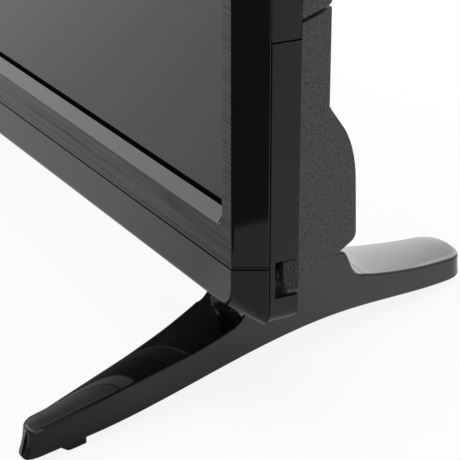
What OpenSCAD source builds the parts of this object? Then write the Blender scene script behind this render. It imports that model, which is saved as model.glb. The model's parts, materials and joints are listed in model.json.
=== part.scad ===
// Flat screen TV on two boomerang feet, 32 inch class, with its inner parts.
// X runs to the viewer's right, Y to the back, Z up from the table. Millimetres.

/* [Picture] */
// Width of the lit picture
panel_w = 697.7; // [660:0.1:760]
// Height of the lit picture
panel_h = 392.3; // [370:0.1:430]
// Height of the lower edge of the lit picture above the table
panel_z = 80.4; // [79:0.1:100]
// Black line left between the picture and the bezel lip
mask_line = 1.2; // [0.6:0.1:2.5]

/* [Bezel] */
// Width of the bezel face beside and above the picture
bezel_side = 6; // [5:0.5:14]
// Height of the brushed band under the picture
bezel_band = 10.7; // [9:0.1:20]
// Height of the seam groove round the lower edge
seam_h = 1.2; // [0.8:0.1:2]
// Height of the face of the lower strip
trim_h = 12.4; // [11:0.1:20]
// Drop of the lower strip's chamfer below its face
trim_drop = 5.8; // [4:0.1:7]
// Outward run of the outer chamfer
bezel_flare = 5.5; // [4:0.1:8]
// Depth of the outer chamfer
bezel_depth = 9.9; // [9.5:0.1:12]
// Run of the inner bevel at the sides and top
window_lip = 3; // [2:0.1:5]
// Run of the inner bevel along the bottom
window_lip_low = 4.3; // [3:0.1:6]
// Depth of the glass behind the bezel face
glass_set = 4.3; // [4:0.1:4.8]
// Wall of the bezel mouldings
bezel_wall = 2.2; // [1.8:0.1:2.6]

/* [Body] */
// Distance of the front face ahead of the middle of the feet
front_reach = 42; // [36:0.1:46]
// Depth of the satin rim
rim_depth = 11.1; // [10:0.1:14]
// Depth of the thin part of the rear cover
thin_depth = 17.7; // [17:0.1:24]
// Further depth of the raised housing
bulge_depth = 18.5; // [17:0.1:26]
// Inward run of the rear cover's sides for each unit of depth
cover_taper = 0.64; // [0.3:0.01:0.7]
// Wall of the rear cover
cover_wall = 2.3; // [2:0.1:2.8]
// Height of the low bulge along the bottom
low_bulge_h = 52; // [46:0.5:60]
// Radius of the rounded shoulder on the low bulge
shoulder_r = 35; // [20:0.5:45]
// Height of the groove between the rear covers above the underside
cover_seam = 84.5; // [78:0.5:90]
// Half width of the raised middle housing
hub_hw = 214; // [210:1:240]
// Height of the top of the raised middle housing above the underside
hub_h = 276; // [268:1:320]

/* [Foot] */
// Length of a foot along its outer face
foot_len = 204.8; // [190:0.2:220]
// Turn of a foot from straight front to back
foot_turn = 14.5; // [8:0.5:18]
// Distance of the front toe's outer corner from the middle of the set
foot_reach = 336; // [320:1:345]
// Height of the front toe at its tip
toe_tip_h = 11.9; // [9:0.1:14]
// Height of the rear toe at its tip
heel_tip_h = 11.4; // [9:0.1:14]
// Height of the front toe where it meets the hump
toe_front_h = 20.9; // [17:0.1:24]
// Height of the rear toe where it meets the hump
toe_rear_h = 20.1; // [17:0.1:22]
// Height of the hump
hump_h = 32.3; // [28:0.1:36]
// Width of the front toe at its tip
toe_front_w = 9.7; // [9:0.1:14]
// Width of the front toe where it meets the hump
neck_w = 20.6; // [20:0.1:26]
// Width of the foot behind its hump
hump_w = 27.6; // [25:0.1:32]
// Width of the rear toe at its tip
toe_rear_w = 22.8; // [18:0.1:26]
// Rise of the arch under the foot
arch_h = 6.9; // [4:0.1:8]
// Thickness of the rubber pads
pad_t = 2.4; // [1.6:0.1:3]

/* [Wall mount] */
// Side of the square of wall mount threads
vesa_pitch = 100; // [100]
// Radius of the wall mount threads
vesa_r = 2; // [2:0.5:2.5]

/* [Keys] */
// Spacing of the keys
key_pitch = 14; // [13:0.5:15]
// Width of a key cap
key_w = 10; // [8:0.5:11]
// Height of a key cap
key_h = 9; // [7:0.5:10]
// Gap round a key cap
key_gap = 0.3; // [0.25:0.05:0.5]
// Stand of a key cap above the cover
key_stand = 1; // [0.8:0.1:1.6]

/* [Hidden] */
bore_fn = 40;
edge_fn = 6;
step = 1;
slim = 0.3;
quarter = 90;

// Heights and widths of the bezel
win_hw = panel_w / 2 + mask_line + window_lip;
face_hw = win_hw + bezel_side;
out_hw = face_hw + bezel_flare;
win_z0 = panel_z - mask_line - window_lip_low;
win_z1 = panel_z + panel_h + mask_line + window_lip;
seam_z1 = win_z0 - bezel_band;
seam_z0 = seam_z1 - seam_h;
face_z0 = seam_z0 - trim_h;
face_z1 = win_z1 + bezel_side;
out_z0 = face_z0 - trim_drop;
face_r = 7;
flare_r = -4;
corner_min = 0.5;
win_r = 4;
lip_rim = 1.2;
foam = 0.4;
tongue_t = 1.4;
tongue_h = 4;

// Depth stations from front to back
face_y = -front_reach;
glass_y = face_y + glass_set;
bezel_y = face_y + bezel_depth;
rim_y = bezel_y + rim_depth;
thin_y = rim_y + thin_depth;
back_y = thin_y + bulge_depth;

// Rim
rim_set = 0.9;
rim_set_low = 1.2;
rim_hw = out_hw - rim_set;
rim_z0 = out_z0 + rim_set_low;
rim_z1 = face_z1 + bezel_flare - rim_set;
rim_wall = 2.2;
rim_r = 3.2;
rim_proud = 0.4;
rim_seam_h = 87.4;
rim_seam = rim_z0 + rim_seam_h;
seam_gap = 0.3;
web_t = 2;
notch_low = 6.5;
notch_high = 18.6;
notch_z0 = rim_z0 + notch_low;
notch_z1 = rim_z0 + notch_high;
notch_d = 8.3;
notch_in = 4;
lip_wall_h = 12;
lip_wall_in = 12;

// Rear cover
cover_set = 0.35;
cover_set_top = 0.3;
cover_lift = 9.2;
cover_hw = rim_hw - cover_set;
cover_z0 = out_z0 + cover_lift;
cover_z1 = rim_z1 - cover_set_top;
cover_in_y = back_y - cover_wall;
cover_r = 4;
edge_r = 1.5;
lean = 3;
slope = 45;
shoulder_n = 8;
low_corner = 2.5;
arc_fine = 15;
seam_z = cover_z0 + cover_seam;
seam_half = 0.6;
hub_low = 8;
hub_z0 = cover_z0 + hub_low;
hub_z1 = cover_z0 + hub_h;
hub_r = 14;
hub_draft = 8;
hub_edge = 4;
tab_d = 5.4;
tab_r = 4.6;
tab_in = 0.5;
tab_t = 2.4;

// Picture module
cell_t = 1.4;
tray_t = 0.8;
cell_over = 5;
cell_over_top = 4.5;
cell_hw = panel_w / 2 + cell_over;
cell_z0 = panel_z - cell_over;
cell_z1 = panel_z + panel_h + cell_over_top;
cell_y1 = glass_y + cell_t;
tray_hw = panel_w / 2;
tray_over = 2;
tray_past = 2.6;
tray_z0 = panel_z - tray_over;
tray_z1 = panel_z + panel_h + tray_over;
tray_y0 = bezel_y - tray_t;
tray_y1 = rim_y + tray_past;
flange = 7;
flange_drop = 6;
frame_lip = 0.6;
sheet_t = 0.8;
sheet_grow = 3.75;
sheet_hw = panel_w / 2 + sheet_grow;
sheet_y = cell_y1 + frame_lip;
bar_t = 1.2;
bar_w = 14;
bar_n = 3;
lens_n = 8;
lens_r = 8;
lens_h = 6;
lens_top = 4.5;
lens_hole = 8.8;
bar_margin = 36;
film_t = 0.3;
bar_y0 = tray_y1 - tray_t - bar_t;

// Boards
board_t = 1.6;
stand_main = 14.1;
stand_power = 5;
rec_in = 16;
rec_wall_x = hub_hw - rec_in;
vesa_base = 9;
post_clear = vesa_pitch / 2 + vesa_base;
main_in = 10;
main_clear = 3;
main_h = 150;
main_low = 101;
main_x0 = -rec_wall_x + main_in;
main_x1 = -post_clear - main_clear;
main_z0 = cover_z0 + main_low;
main_z1 = main_z0 + main_h;
main_y = tray_y1 + stand_main;
main_top = main_y + board_t;
power_in = 16;
power_clear = 5;
power_h = 160;
power_low = 96;
power_x1 = rec_wall_x - power_in;
power_x0 = post_clear + power_clear;
power_z0 = cover_z0 + power_low;
power_z1 = power_z0 + power_h;
power_y = tray_y1 + stand_power;
power_top = power_y + board_t;
hole_in = 6;
main_pts = [
  for (x = [main_x0 + hole_in, main_x1 - hole_in], z = [main_z0 + hole_in, main_z1 - hole_in]) [x, z]];
power_pts = [
  for (x = [power_x0 + hole_in, power_x1 - hole_in], z = [power_z0 + hole_in, power_z1 - hole_in]) [x, z]];
post_r = 4;
post_bore = 1.7;
shank_r = 1.6;
head_r = 3.1;
head_h = 1.8;
screw_len = 8;

// Socket recesses in the raised housing
rec_out = 40;
rec_floor = 4;
rec_y = thin_y - rec_floor;
rec_past = 12;
io_low = 5;
io_high = 130;
io_z0 = main_z0 + io_low;
io_z1 = main_z0 + io_high;
ac_low = 94;
ac_room = 40;
ac_z0 = cover_z0 + ac_low;
ac_z1 = ac_z0 + ac_room;
ac_zc = ac_z0 + ac_room / 2;
socket_set = 0.5;
socket_face = rec_wall_x - socket_set;
socket_gap = 0.3;
hdmi_w = 15;
hdmi_h = 6;
hdmi_deep = 13;
usb_w = 13.1;
usb_h = 5.9;
shell_t = 0.4;
mouth_deep = 9;
tongue_w = 0.7;
jack_w = 9;
jack_h = 8;
jack_bore = 1.75;
jack_deep = 12;
ant_r = 4.7;
ant_core = 1.2;
ant_out = 7;
ant_gap = 0.5;
ant_lift = 5.4;
ant_y = main_top + ant_lift;
can_in = 4;
can_deep = 34;
can_w = 30;
can_h = 10.5;
can_x1 = main_x0 + can_in + can_deep;
ant_up = 25;
hdmi_1_up = 57;
hdmi_2_up = 77;
usb_up = 96;
jack_up = 113;
ant_z = main_z0 + ant_up;
hdmi_1_z = main_z0 + hdmi_1_up;
hdmi_2_z = main_z0 + hdmi_2_up;
usb_z = main_z0 + usb_up;
jack_z = main_z0 + jack_up;
jack_y = main_top + jack_h / 2;
ac_deep = 20;
ac_w = 22;
ac_h = 14;
ac_back = 9;
ac_yc = thin_y + ac_back;
ac_flange = 3;
ac_cup_r = 4;
ac_cup_off = 4.3;
ac_cup_deep = 12;
ac_pin_r = 1.1;
ac_pin_len = 9;

// Parts on the boards
chip_h = 1.6;
memory_w = 12;
memory_l = 14;
memory_in = 24;
memory_up = 44;
memory_pitch = 22;
flash_w = 20;
flash_l = 8;
flash_in = 40;
flash_up = 118;
choke_side = 10;
choke_in = 26;
choke_up = 18;
sink_in = 54;
sink_up = 78;
sink_x = main_x1 - sink_in;
sink_z = main_z0 + sink_up;
sink_side = 36;
sink_base = 2.4;
sink_h = 9;
fin_n = 7;
fin_t = 1.6;
plate_in = 24;
plate_t = 6;
plate_low_w = 20;
plate_low_up = 30;
plate_high_w = 24;
plate_high_up = 120;
relay_in = 84;
relay_up = 66;
relay_w = 12;
relay_l = 16;
coil_in = 46;
coil_up = 70;
coil_x = power_x0 + coil_in;
coil_z = power_z0 + coil_up;
coil_w = 30;
coil_d = 26;
coil_h = 18;
core_over = 5;
cap_r = 9;
cap_h = 20;
cap_in = 80;
cap_up = 98;
cap_pitch_z = 24;
cap_pitch_x = 34;
cap_x = power_x0 + cap_in;
cap_z = power_z0 + cap_up;
cap_pts = [[cap_x, cap_z], [cap_x, cap_z + cap_pitch_z], [cap_x - cap_pitch_x, cap_z]];

// Keys
key_n = 7;
key_in = 16;
key_low = 24;
key_x = hub_hw - key_in;
key_z0 = ac_z1 + key_low;
key_flange = 1.6;
key_flange_t = 1;
key_post_r = 2;
key_room = 8.2;
key_board_y = cover_in_y - key_room;
switch_side = 6;
switch_h = 3.4;
switch_top = 0.7;
switch_r = 1.6;
key_rest = 0.7;
key_board_in = 11.2;
key_board_over = 10;

// Wall mount
vesa_up = 196;
vesa_z = cover_z0 + vesa_up;
vesa_post = 6;
vesa_base_t = 2;
vesa_deep = 14;
vesa_clear = 6.3;

// Cover screws
edge_in = 14;
hub_clear = 23;
screw_top_in = 11;
screw_rise = 22;
screw_fall = 20;
edge_x = panel_w / 2 - edge_in;
edge_x_in = hub_hw + hub_draft + hub_clear;
screw_top_z = panel_z + panel_h - screw_top_in;
screw_up = [
  [edge_x, seam_z + screw_rise],
  [edge_x, (seam_z + screw_top_z) / 2],
  [edge_x, screw_top_z],
  [edge_x / 3, screw_top_z]];
screw_low = [
  [edge_x, seam_z - screw_fall],
  [edge_x_in, seam_z - screw_fall]];
cover_screw_pts = concat(screw_up, screw_low);
cover_head_r = 3.6;
cover_head_h = 1.4;
cover_screw_len = 12;

// Speakers and drive of the glass
speaker_xc = 195;
speaker_w = 130;
speaker_h = 36;
speaker_gap = 0.6;
speaker_back = 2.2;
speaker_x0 = speaker_xc - speaker_w / 2;
speaker_x1 = speaker_xc + speaker_w / 2;
speaker_y0 = tray_y1 + speaker_gap;
speaker_y1 = cover_in_y - speaker_back;
speaker_wall = 2;
speaker_yc = (speaker_y0 + speaker_y1) / 2;
speaker_z0 = cover_z0 + cover_wall;
driver_r = 12;
driver_rim = 13.5;
driver_t = 1.6;
magnet_r = 9;
magnet_h = 6;
cone_h = 5;
grille_n = 13;
grille_pitch = 5;
grille_w = 2;
grille_len = 22;
flex_n = 4;
flex_pitch = 60;
flex_w = 32;
flex_x = [for (i = [0:flex_n - 1]) flex_pitch * (i - (flex_n - 1) / 2)];
flex_drop = 5.4;
flex_room = 1;
source_hw = flex_n * flex_pitch / 2;
source_up = 6;
source_z0 = tray_z0 + source_up;
source_h = 24;
source_t = 1.2;
cable_in = 50;
cable_w = 30;
cable_x0 = main_x1 - cable_in;
cable_x1 = cable_x0 + cable_w;
cable_t = 0.6;

// Remote receiver
ir_w = 20;
ir_h = 5;
ir_gap = 0.2;
ir_flange = 1.5;
ir_flange_t = 1;
ir_z = face_z0 + trim_h / 2;

// Foot shape
foot_back = 2;
foot_y = foot_back - foot_len * cos(foot_turn) / 2;
foot_mid = foot_len / 2;
end_slant = tan(foot_turn);
tip_over = 2.8;
tip_dip = 0.6;
tip_steps = 0.1;
tip_part = 0.05;
toe_nose = 2.6;
toe_nose_run = 5;
toe_tuck = 4.5;
toe_tuck_run = 6;
heel_nose = 7.5;
heel_nose_run = 8;
heel_tuck = 7;
heel_tuck_run = 10;
toe_kick = 2.4;
heel_kick = 1;
kick_run = 9;
toe_straight = 8;
hump_ahead = 20.4;
hump_behind = 45.6;
hump_u0 = foot_mid - hump_ahead;
hump_u1 = foot_mid + hump_behind;
hump_rise = 15;
hump_fall = 14;
hump_sharp = 1.35;
heel_sag = 1.7;
neck_run = 50;
arch_front = 18;
arch_back = 5;
arch_peak = 0.57;
arch_u0 = arch_front;
arch_u1 = foot_len - arch_back;
crease_r = 0.9;
heel_r = 0.8;
crown = 0.9;
foot_steps = 52;
crown_n = 6;
crease_step = 30;
stem_len = 24;
stem_w = 16;
stem_v0 = 3;
stem_ahead = 2.4;
stem_uc = foot_mid - stem_ahead;
stem_u0 = stem_uc - stem_len / 2;
stem_u1 = stem_uc + stem_len / 2;
stem_v1 = stem_v0 + stem_w;
stem_r = 4;
stem_z0 = 16;
bolt_pitch = 12;
bolt_u = [stem_uc - bolt_pitch / 2, stem_uc + bolt_pitch / 2];
bolt_v = stem_v0 + stem_w / 2;
bolt_r = 2.3;
bolt_well_r = 4.6;
bolt_grip = 18;
bolt_seat = cover_z0 - bolt_grip;
bolt_shank = 2;
bolt_head_r = 4;
bolt_head_h = 3;
bolt_past = 8;
pad_len = 10;
pad_front = 9.5;
pad_back = 18;
pad_u = [pad_front, foot_len - pad_back];
pad_out = 1.2;
pad_rear_out = 9.5;
pad_v = [pad_out, pad_rear_out];
pad_sunk = 1.2;
pad_rear_sunk = 4;
pad_h = [pad_t + pad_sunk, pad_t + pad_rear_sunk];
pad_w = 7;
bracket_t = 3;
bracket_thread = 2.1;
bracket_w = 38;
bracket_xc = foot_reach - stem_uc * sin(foot_turn) - bolt_v * cos(foot_turn);
bracket_x0 = bracket_xc - bracket_w / 2;
bracket_x1 = bracket_xc + bracket_w / 2;
bracket_set = 5.5;
bracket_y1 = back_y - bracket_set;
bracket_back_t = 2.5;
bracket_h = 74;
bracket_side = 5;

// Vents
vent_n = 18;
vent_pitch = 6;
vent_w = 2.4;
vent_len = 20;
vent_x0 = 75;
vent_drop = 38;
vent_z0 = hub_z1 - vent_drop;
slot_n = 44;
slot_pitch = 9;
slot_w = 3;
slot_len = 12;
slot_drop = 62;
slot_z = cover_z1 - slot_drop;

c_gloss = [0.05, 0.05, 0.055];
c_satin = [0.12, 0.12, 0.125];
c_grain = [0.2, 0.2, 0.205];
c_glass = [0.3, 0.31, 0.32];
c_white = [0.92, 0.92, 0.9];
c_steel = [0.62, 0.64, 0.66];
c_board = [0.1, 0.35, 0.2];
c_metal = [0.75, 0.76, 0.77];
c_rubber = [0.07, 0.07, 0.07];
c_amber = [0.72, 0.5, 0.2];
c_dark = [0.1, 0.1, 0.11];
c_clear = [0.8, 0.85, 0.9];

// Points of a rounded rectangle in X and Z, anticlockwise as seen from the front
function arc_pts(cx, cz, r, a0, n) =
  [for (i = [0:n]) [cx + r * cos(a0 + quarter * i / n), cz + r * sin(a0 + quarter * i / n)]];
function rrect(x0, x1, z0, z1, r, n = edge_fn) = concat(
  arc_pts(x1 - r, z0 + r, r, -quarter, n),
  arc_pts(x1 - r, z1 - r, r, 0, n),
  arc_pts(x0 + r, z1 - r, r, quarter, n),
  arc_pts(x0 + r, z0 + r, r, 2 * quarter, n));
function at_y(p, y) = [for (q = p) [q[0], y, q[1]]];
function ease(t) = t <= 0 ? 0 : t >= 1 ? 1 : t * t * (3 - 2 * t);

// Skin over a row of rings with the same number of points
module loft(rings) {
  n = len(rings[0]);
  m = len(rings);
  pts = [for (r = rings) each r];
  first = [for (i = [n - 1:-1:0]) i];
  last = [for (i = [0:n - 1]) (m - 1) * n + i];
  sides = [for (k = [0:m - 2], i = [0:n - 1]) each [
    [k * n + i, k * n + (i + 1) % n, (k + 1) * n + (i + 1) % n],
    [k * n + i, (k + 1) * n + (i + 1) % n, (k + 1) * n + i]]];
  polyhedron(points = pts, faces = concat([first], [last], sides));
}
module box(x0, x1, y0, y1, z0, z1) {
  translate([x0, y0, z0])
    cube([x1 - x0, y1 - y0, z1 - z0]);
}
module rod_y(x, z, y0, y1, r) {
  translate([x, y0, z])
    rotate([-90, 0, 0])
      cylinder(r = r, h = y1 - y0, $fn = bore_fn);
}
module rod_x(y, z, x0, x1, r) {
  translate([x0, y, z])
    rotate([0, 90, 0])
      cylinder(r = r, h = x1 - x0, $fn = bore_fn);
}
module rod_z(x, y, z0, z1, r) {
  translate([x, y, z0])
    cylinder(r = r, h = z1 - z0, $fn = bore_fn);
}
module prism(p, y0, y1) {
  loft([at_y(p, y0), at_y(p, y1)]);
}
module above(z) {
  box(-2 * out_hw, 2 * out_hw, 4 * face_y, -4 * face_y, z, 2 * face_z1);
}
module below(z) {
  box(-2 * out_hw, 2 * out_hw, 4 * face_y, -4 * face_y, -face_z1, z);
}
module both_sides() {
  children();
  mirror([1, 0, 0])
    children();
}

// Bezel
function flare_at(y) = (y - face_y) / bezel_depth;
function bezel_ring(y, d) = at_y(rrect(
  -face_hw - bezel_flare * flare_at(y) + d,
  face_hw + bezel_flare * flare_at(y) - d,
  face_z0 - trim_drop * flare_at(y) + d,
  face_z1 + bezel_flare * flare_at(y) - d,
  max(corner_min, face_r + flare_r * flare_at(y) - d)), y);
module bezel_body(d) {
  loft([bezel_ring(face_y + d, d), bezel_ring(bezel_y + (d > 0 ? step : 0), d)]);
}
function win_at(y) = (y - face_y) / glass_set;
function win_ring(y) = at_y(rrect(
  -win_hw + window_lip * win_at(y),
  win_hw - window_lip * win_at(y),
  win_z0 + window_lip_low * win_at(y),
  win_z1 - window_lip * win_at(y),
  win_r - win_at(y)), y);
module bezel_shell() {
  difference() {
    bezel_body(0);
    bezel_body(bezel_wall);
  }
}
module front_bezel() {
  color(c_gloss)
    difference() {
      union() {
        intersection() {
          bezel_shell();
          above(seam_z1);
        }
        prism(rrect(-win_hw - lip_rim, win_hw + lip_rim, win_z0 - lip_rim, win_z1 + lip_rim, win_r),
          face_y + step, glass_y - foam);
      }
      loft([win_ring(face_y - step), win_ring(glass_y + step)]);
    }
}
module bottom_trim() {
  color(c_gloss)
    difference() {
      union() {
        intersection() {
          bezel_shell();
          below(seam_z0);
        }
        intersection() {
          difference() {
            bezel_body(bezel_wall);
            bezel_body(bezel_wall + tongue_t);
            above(seam_z1 + tongue_h);
            below(seam_z0 - tongue_h);
          }
          box(-out_hw, out_hw, face_y, bezel_y, seam_z0 - 2 * tongue_h, seam_z1 + 2 * tongue_h);
        }
      }
      box(-ir_w / 2, ir_w / 2, face_y - step, face_y + bezel_wall + step, ir_z - ir_h / 2, ir_z + ir_h / 2);
    }
}
module ir_window() {
  hw = ir_w / 2 - ir_gap;
  hh = ir_h / 2 - ir_gap;
  back = face_y + bezel_wall;
  color(c_dark) {
    box(-hw, hw, face_y + ir_gap, back, ir_z - hh, ir_z + hh);
    box(-hw - ir_flange, hw + ir_flange, back, back + ir_flange_t,
      ir_z - hh - ir_flange, ir_z + hh - slim);
  }
}
module ir_board() {
  y0 = face_y + bezel_wall + ir_flange_t;
  color(c_board) {
    box(-ir_w, ir_w, y0, y0 + board_t, ir_z - ir_h, ir_z + ir_h / 2 - step);
    rod_y(0, ir_z - ir_flange, y0 + board_t - slim, y0 + board_t + ir_flange_t, ir_flange);
  }
}

// Picture module
module lcd_cell() {
  color(c_glass)
    box(-cell_hw, cell_hw, glass_y, cell_y1, cell_z0, cell_z1);
}
module panel_frame() {
  hw = tray_hw + flange;
  z0 = tray_z0 - flange_drop;
  z1 = tray_z1 + flange_drop;
  color(c_satin)
    difference() {
      union() {
        box(-hw, hw, cell_y1, tray_y0, z0, z1);
        box(-hw, hw, glass_y + foam, cell_y1 + slim, cell_z0 + flange, z1);
      }
      box(-cell_hw - slim, cell_hw + slim, face_y, cell_y1, 0, cell_z1 + slim);
      box(-tray_hw - step, tray_hw + step, face_y, 0, panel_z - step, panel_z + panel_h + step);
      box(-sheet_hw - slim, sheet_hw + slim, cell_y1 + frame_lip, 0, panel_z - sheet_grow - slim,
        panel_z + panel_h + sheet_grow + slim);
    }
}
module sheet(y0, y1) {
  box(-sheet_hw, sheet_hw, y0, y1, panel_z - sheet_grow, panel_z + panel_h + sheet_grow);
}
module optical_sheets() {
  color(c_white)
    sheet(sheet_y, sheet_y + sheet_t);
}
module diffuser_plate() {
  color(c_white)
    sheet(sheet_y + sheet_t, tray_y0);
}
function bar_z(i) = tray_z0 + (tray_z1 - tray_z0) * (i + 0.5) / bar_n;
function lens_x(i) = -tray_hw + bar_margin + (2 * tray_hw - 2 * bar_margin) * i / (lens_n - 1);
module led_bars() {
  color(c_white)
    for (i = [0:bar_n - 1])
      box(-tray_hw + bar_w, tray_hw - bar_w, bar_y0, tray_y1 - tray_t,
        bar_z(i) - bar_w / 2, bar_z(i) + bar_w / 2);
}
module led_lenses() {
  color(c_clear)
    for (i = [0:bar_n - 1], k = [0:lens_n - 1])
      translate([lens_x(k), bar_y0, bar_z(i)])
        rotate([90, 0, 0])
          cylinder(r1 = lens_r, r2 = lens_top, h = lens_h, $fn = bore_fn);
}
module reflector_sheet() {
  color(c_white)
    difference() {
      box(-tray_hw + step, tray_hw - step, bar_y0 - film_t, bar_y0, tray_z0 + step, tray_z1 - step);
      for (i = [0:bar_n - 1], k = [0:lens_n - 1])
        rod_y(lens_x(k), bar_z(i), bar_y0 - step, bar_y0 + step, lens_hole);
    }
}
module post(x, z, y1, r, bore) {
  difference() {
    rod_y(x, z, tray_y1 - tray_t / 2, y1, r);
    rod_y(x, z, tray_y1, y1 + step, bore);
  }
}
module backlight_tray() {
  color(c_steel) {
    difference() {
      box(-tray_hw, tray_hw, tray_y0, tray_y1, tray_z0, tray_z1);
      box(-tray_hw + tray_t, tray_hw - tray_t, tray_y0 - step, tray_y1 - tray_t,
        tray_z0 + tray_t, tray_z1 - tray_t);
    }
    difference() {
      box(-tray_hw - flange, tray_hw + flange, tray_y0, bezel_y,
        tray_z0 - flange_drop, tray_z1 + flange_drop);
      box(-tray_hw + tray_t, tray_hw - tray_t, tray_y0 - step, bezel_y + step,
        tray_z0 + tray_t, tray_z1 - tray_t);
    }
    for (p = main_pts)
      post(p[0], p[1], main_y, post_r, post_bore);
    for (p = power_pts)
      post(p[0], p[1], power_y, post_r, post_bore);
    both_sides()
      for (p = cover_screw_pts)
        post(p[0], p[1], thin_y - cover_wall, post_r, post_bore);
  }
}
module source_board() {
  color(c_board)
    box(-source_hw, source_hw, tray_y1, tray_y1 + source_t, source_z0, source_z0 + source_h);
}
module driver_flexes() {
  y0 = glass_y + cell_t / 2;
  y1 = tray_y1 + source_t;
  z0 = cell_z0 - flex_drop;
  color(c_amber)
    for (x = flex_x) {
      box(x - flex_w / 2, x + flex_w / 2, y0, y0 + film_t, z0, cell_z0);
      box(x - flex_w / 2, x + flex_w / 2, y0, y1, z0, z0 + film_t);
      box(x - flex_w / 2, x + flex_w / 2, y1 - film_t, y1, z0, source_z0);
    }
}
module lvds_cable() {
  z0 = source_z0 + source_h;
  y0 = tray_y1 + source_t - cable_t;
  color(c_white)
    translate([cable_x0, 0, 0])
      rotate([90, 0, 90])
        linear_extrude(height = cable_x1 - cable_x0)
          polygon([[y0, z0], [y0 + cable_t, z0], [main_y + cable_t, main_z0], [main_y, main_z0]]);
}

// Satin rim
function rim_rect(d) = rrect(-rim_hw + d, rim_hw - d, rim_z0 + d, rim_z1 - d, rim_r - d / 2);
module rim_ring(d) {
  difference() {
    prism(rim_rect(d), bezel_y, rim_y);
    prism(rim_rect(d + rim_wall), bezel_y - step, rim_y + step);
  }
  difference() {
    prism(rim_rect(d + rim_wall / 2), bezel_y, bezel_y + web_t);
    box(-tray_hw - slim, tray_hw + slim, bezel_y - step, rim_y, tray_z0 - slim, tray_z1 + slim);
  }
}
module frame_upper() {
  color(c_satin)
    intersection() {
      rim_ring(rim_proud);
      above(rim_seam);
    }
}
module frame_lower() {
  wall_hw = rim_hw - lip_wall_in;
  color(c_satin)
    difference() {
      union() {
        intersection() {
          rim_ring(0);
          below(rim_seam - seam_gap);
        }
        box(-wall_hw, wall_hw, rim_y - web_t, rim_y, rim_z0 + step, rim_z0 + lip_wall_h);
      }
      both_sides()
        box(rim_hw - notch_in, rim_hw + step, rim_y - notch_d, rim_y + step, notch_z0, notch_z1);
      for (x = flex_x)
        box(x - flex_w / 2 - step, x + flex_w / 2 + step, bezel_y - step, bezel_y + web_t + step,
          cell_z0 - flex_drop - flex_room, tray_z0);
    }
}

// Rear cover
function side_at(y) = cover_taper * (y - rim_y);
function cover_ring(y, d) = at_y(rrect(
  -cover_hw + side_at(y) + d,
  cover_hw - side_at(y) - d,
  cover_z0 + d,
  cover_z1 - side_at(y) - d,
  cover_r - d / 2), y);
module cover_slab(d) {
  f = d > 0 ? step : 0;
  loft([
    cover_ring(rim_y - f, d),
    cover_ring(thin_y - d - edge_r, d),
    cover_ring(thin_y - d, d + edge_r / 2)]);
}
function low_profile(d) = let(
  z0 = cover_z0 + d,
  zb = cover_z0 + low_corner,
  zt = cover_z0 + low_bulge_h,
  k1 = thin_y * cos(slope) + zt * sin(slope) - shoulder_r,
  k0 = back_y * cos(lean) + zb * sin(lean) - shoulder_r,
  det = sin(lean - slope),
  cy = (k1 * sin(lean) - sin(slope) * k0) / det,
  cz = (cos(slope) * k0 - cos(lean) * k1) / det,
  r = shoulder_r - d,
  f = d > 0 ? step : 0,
  rc = low_corner - d / 2,
  ztop = zt - d * (1 - cos(slope)) / sin(slope))
  concat(
    [[rim_y - f, z0]],
    [for (a = [-quarter:arc_fine:0]) [back_y - d - rc + rc * cos(a), z0 + rc + rc * sin(a)]],
    [for (a = [lean:(slope - lean) / shoulder_n:slope + slim]) [cy + r * cos(a), cz + r * sin(a)]],
    [[thin_y - d, ztop], [rim_y - f, ztop]]);
module low_bulge(d) {
  f = d > 0 ? step : 0;
  intersection() {
    translate([-cover_hw, 0, 0])
      rotate([90, 0, 90])
        linear_extrude(height = 2 * cover_hw)
          polygon(low_profile(d));
    translate([0, 0, cover_z0])
      linear_extrude(height = low_bulge_h + step)
        polygon([
          [-cover_hw + side_at(rim_y - f) + d, rim_y - f],
          [cover_hw - side_at(rim_y - f) - d, rim_y - f],
          [cover_hw - side_at(back_y + step) - d, back_y + step],
          [-cover_hw + side_at(back_y + step) + d, back_y + step]]);
  }
}
function hub_ring(y, g, d) = at_y(rrect(
  -hub_hw - g + d, hub_hw + g - d, hub_z0 - g + d, hub_z1 + g - d, hub_r), y);
module hub(d) {
  loft([
    hub_ring(thin_y - d - hub_edge, hub_draft, d),
    hub_ring(back_y - d - hub_edge / 2, 0, d),
    hub_ring(back_y - d - hub_edge / 4, -hub_edge / 8, d),
    hub_ring(back_y - d, -hub_edge / 2, d)]);
}
module recess(d) {
  box(-rec_wall_x - rec_out - d, -rec_wall_x + d, rec_y - d, back_y + rec_past, io_z0 - d, io_z1 + d);
  box(rec_wall_x - d, rec_wall_x + rec_out + d, rec_y - d, back_y + rec_past, ac_z0 - d, ac_z1 + d);
}
module cover_solid(d, w) {
  difference() {
    union() {
      cover_slab(d);
      low_bulge(d);
      hub(d);
    }
    recess(w);
  }
}
module cover_shell() {
  difference() {
    cover_solid(0, 0);
    cover_solid(cover_wall, cover_wall);
  }
}
module slot_y(x, z, w, h, y0, y1) {
  box(x - w / 2, x + w / 2, y0, y1, z - h / 2 + w / 2, z + h / 2 - w / 2);
  rod_y(x, z - h / 2 + w / 2, y0, y1, w / 2);
  rod_y(x, z + h / 2 - w / 2, y0, y1, w / 2);
}
module socket_hole(z, w, h) {
  box(-rec_wall_x - step, -rec_wall_x + cover_wall + step,
    main_top - socket_gap, main_top + h + socket_gap, z - w / 2 - socket_gap, z + w / 2 + socket_gap);
}
function key_z(i) = key_z0 + key_pitch * i;
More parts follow.
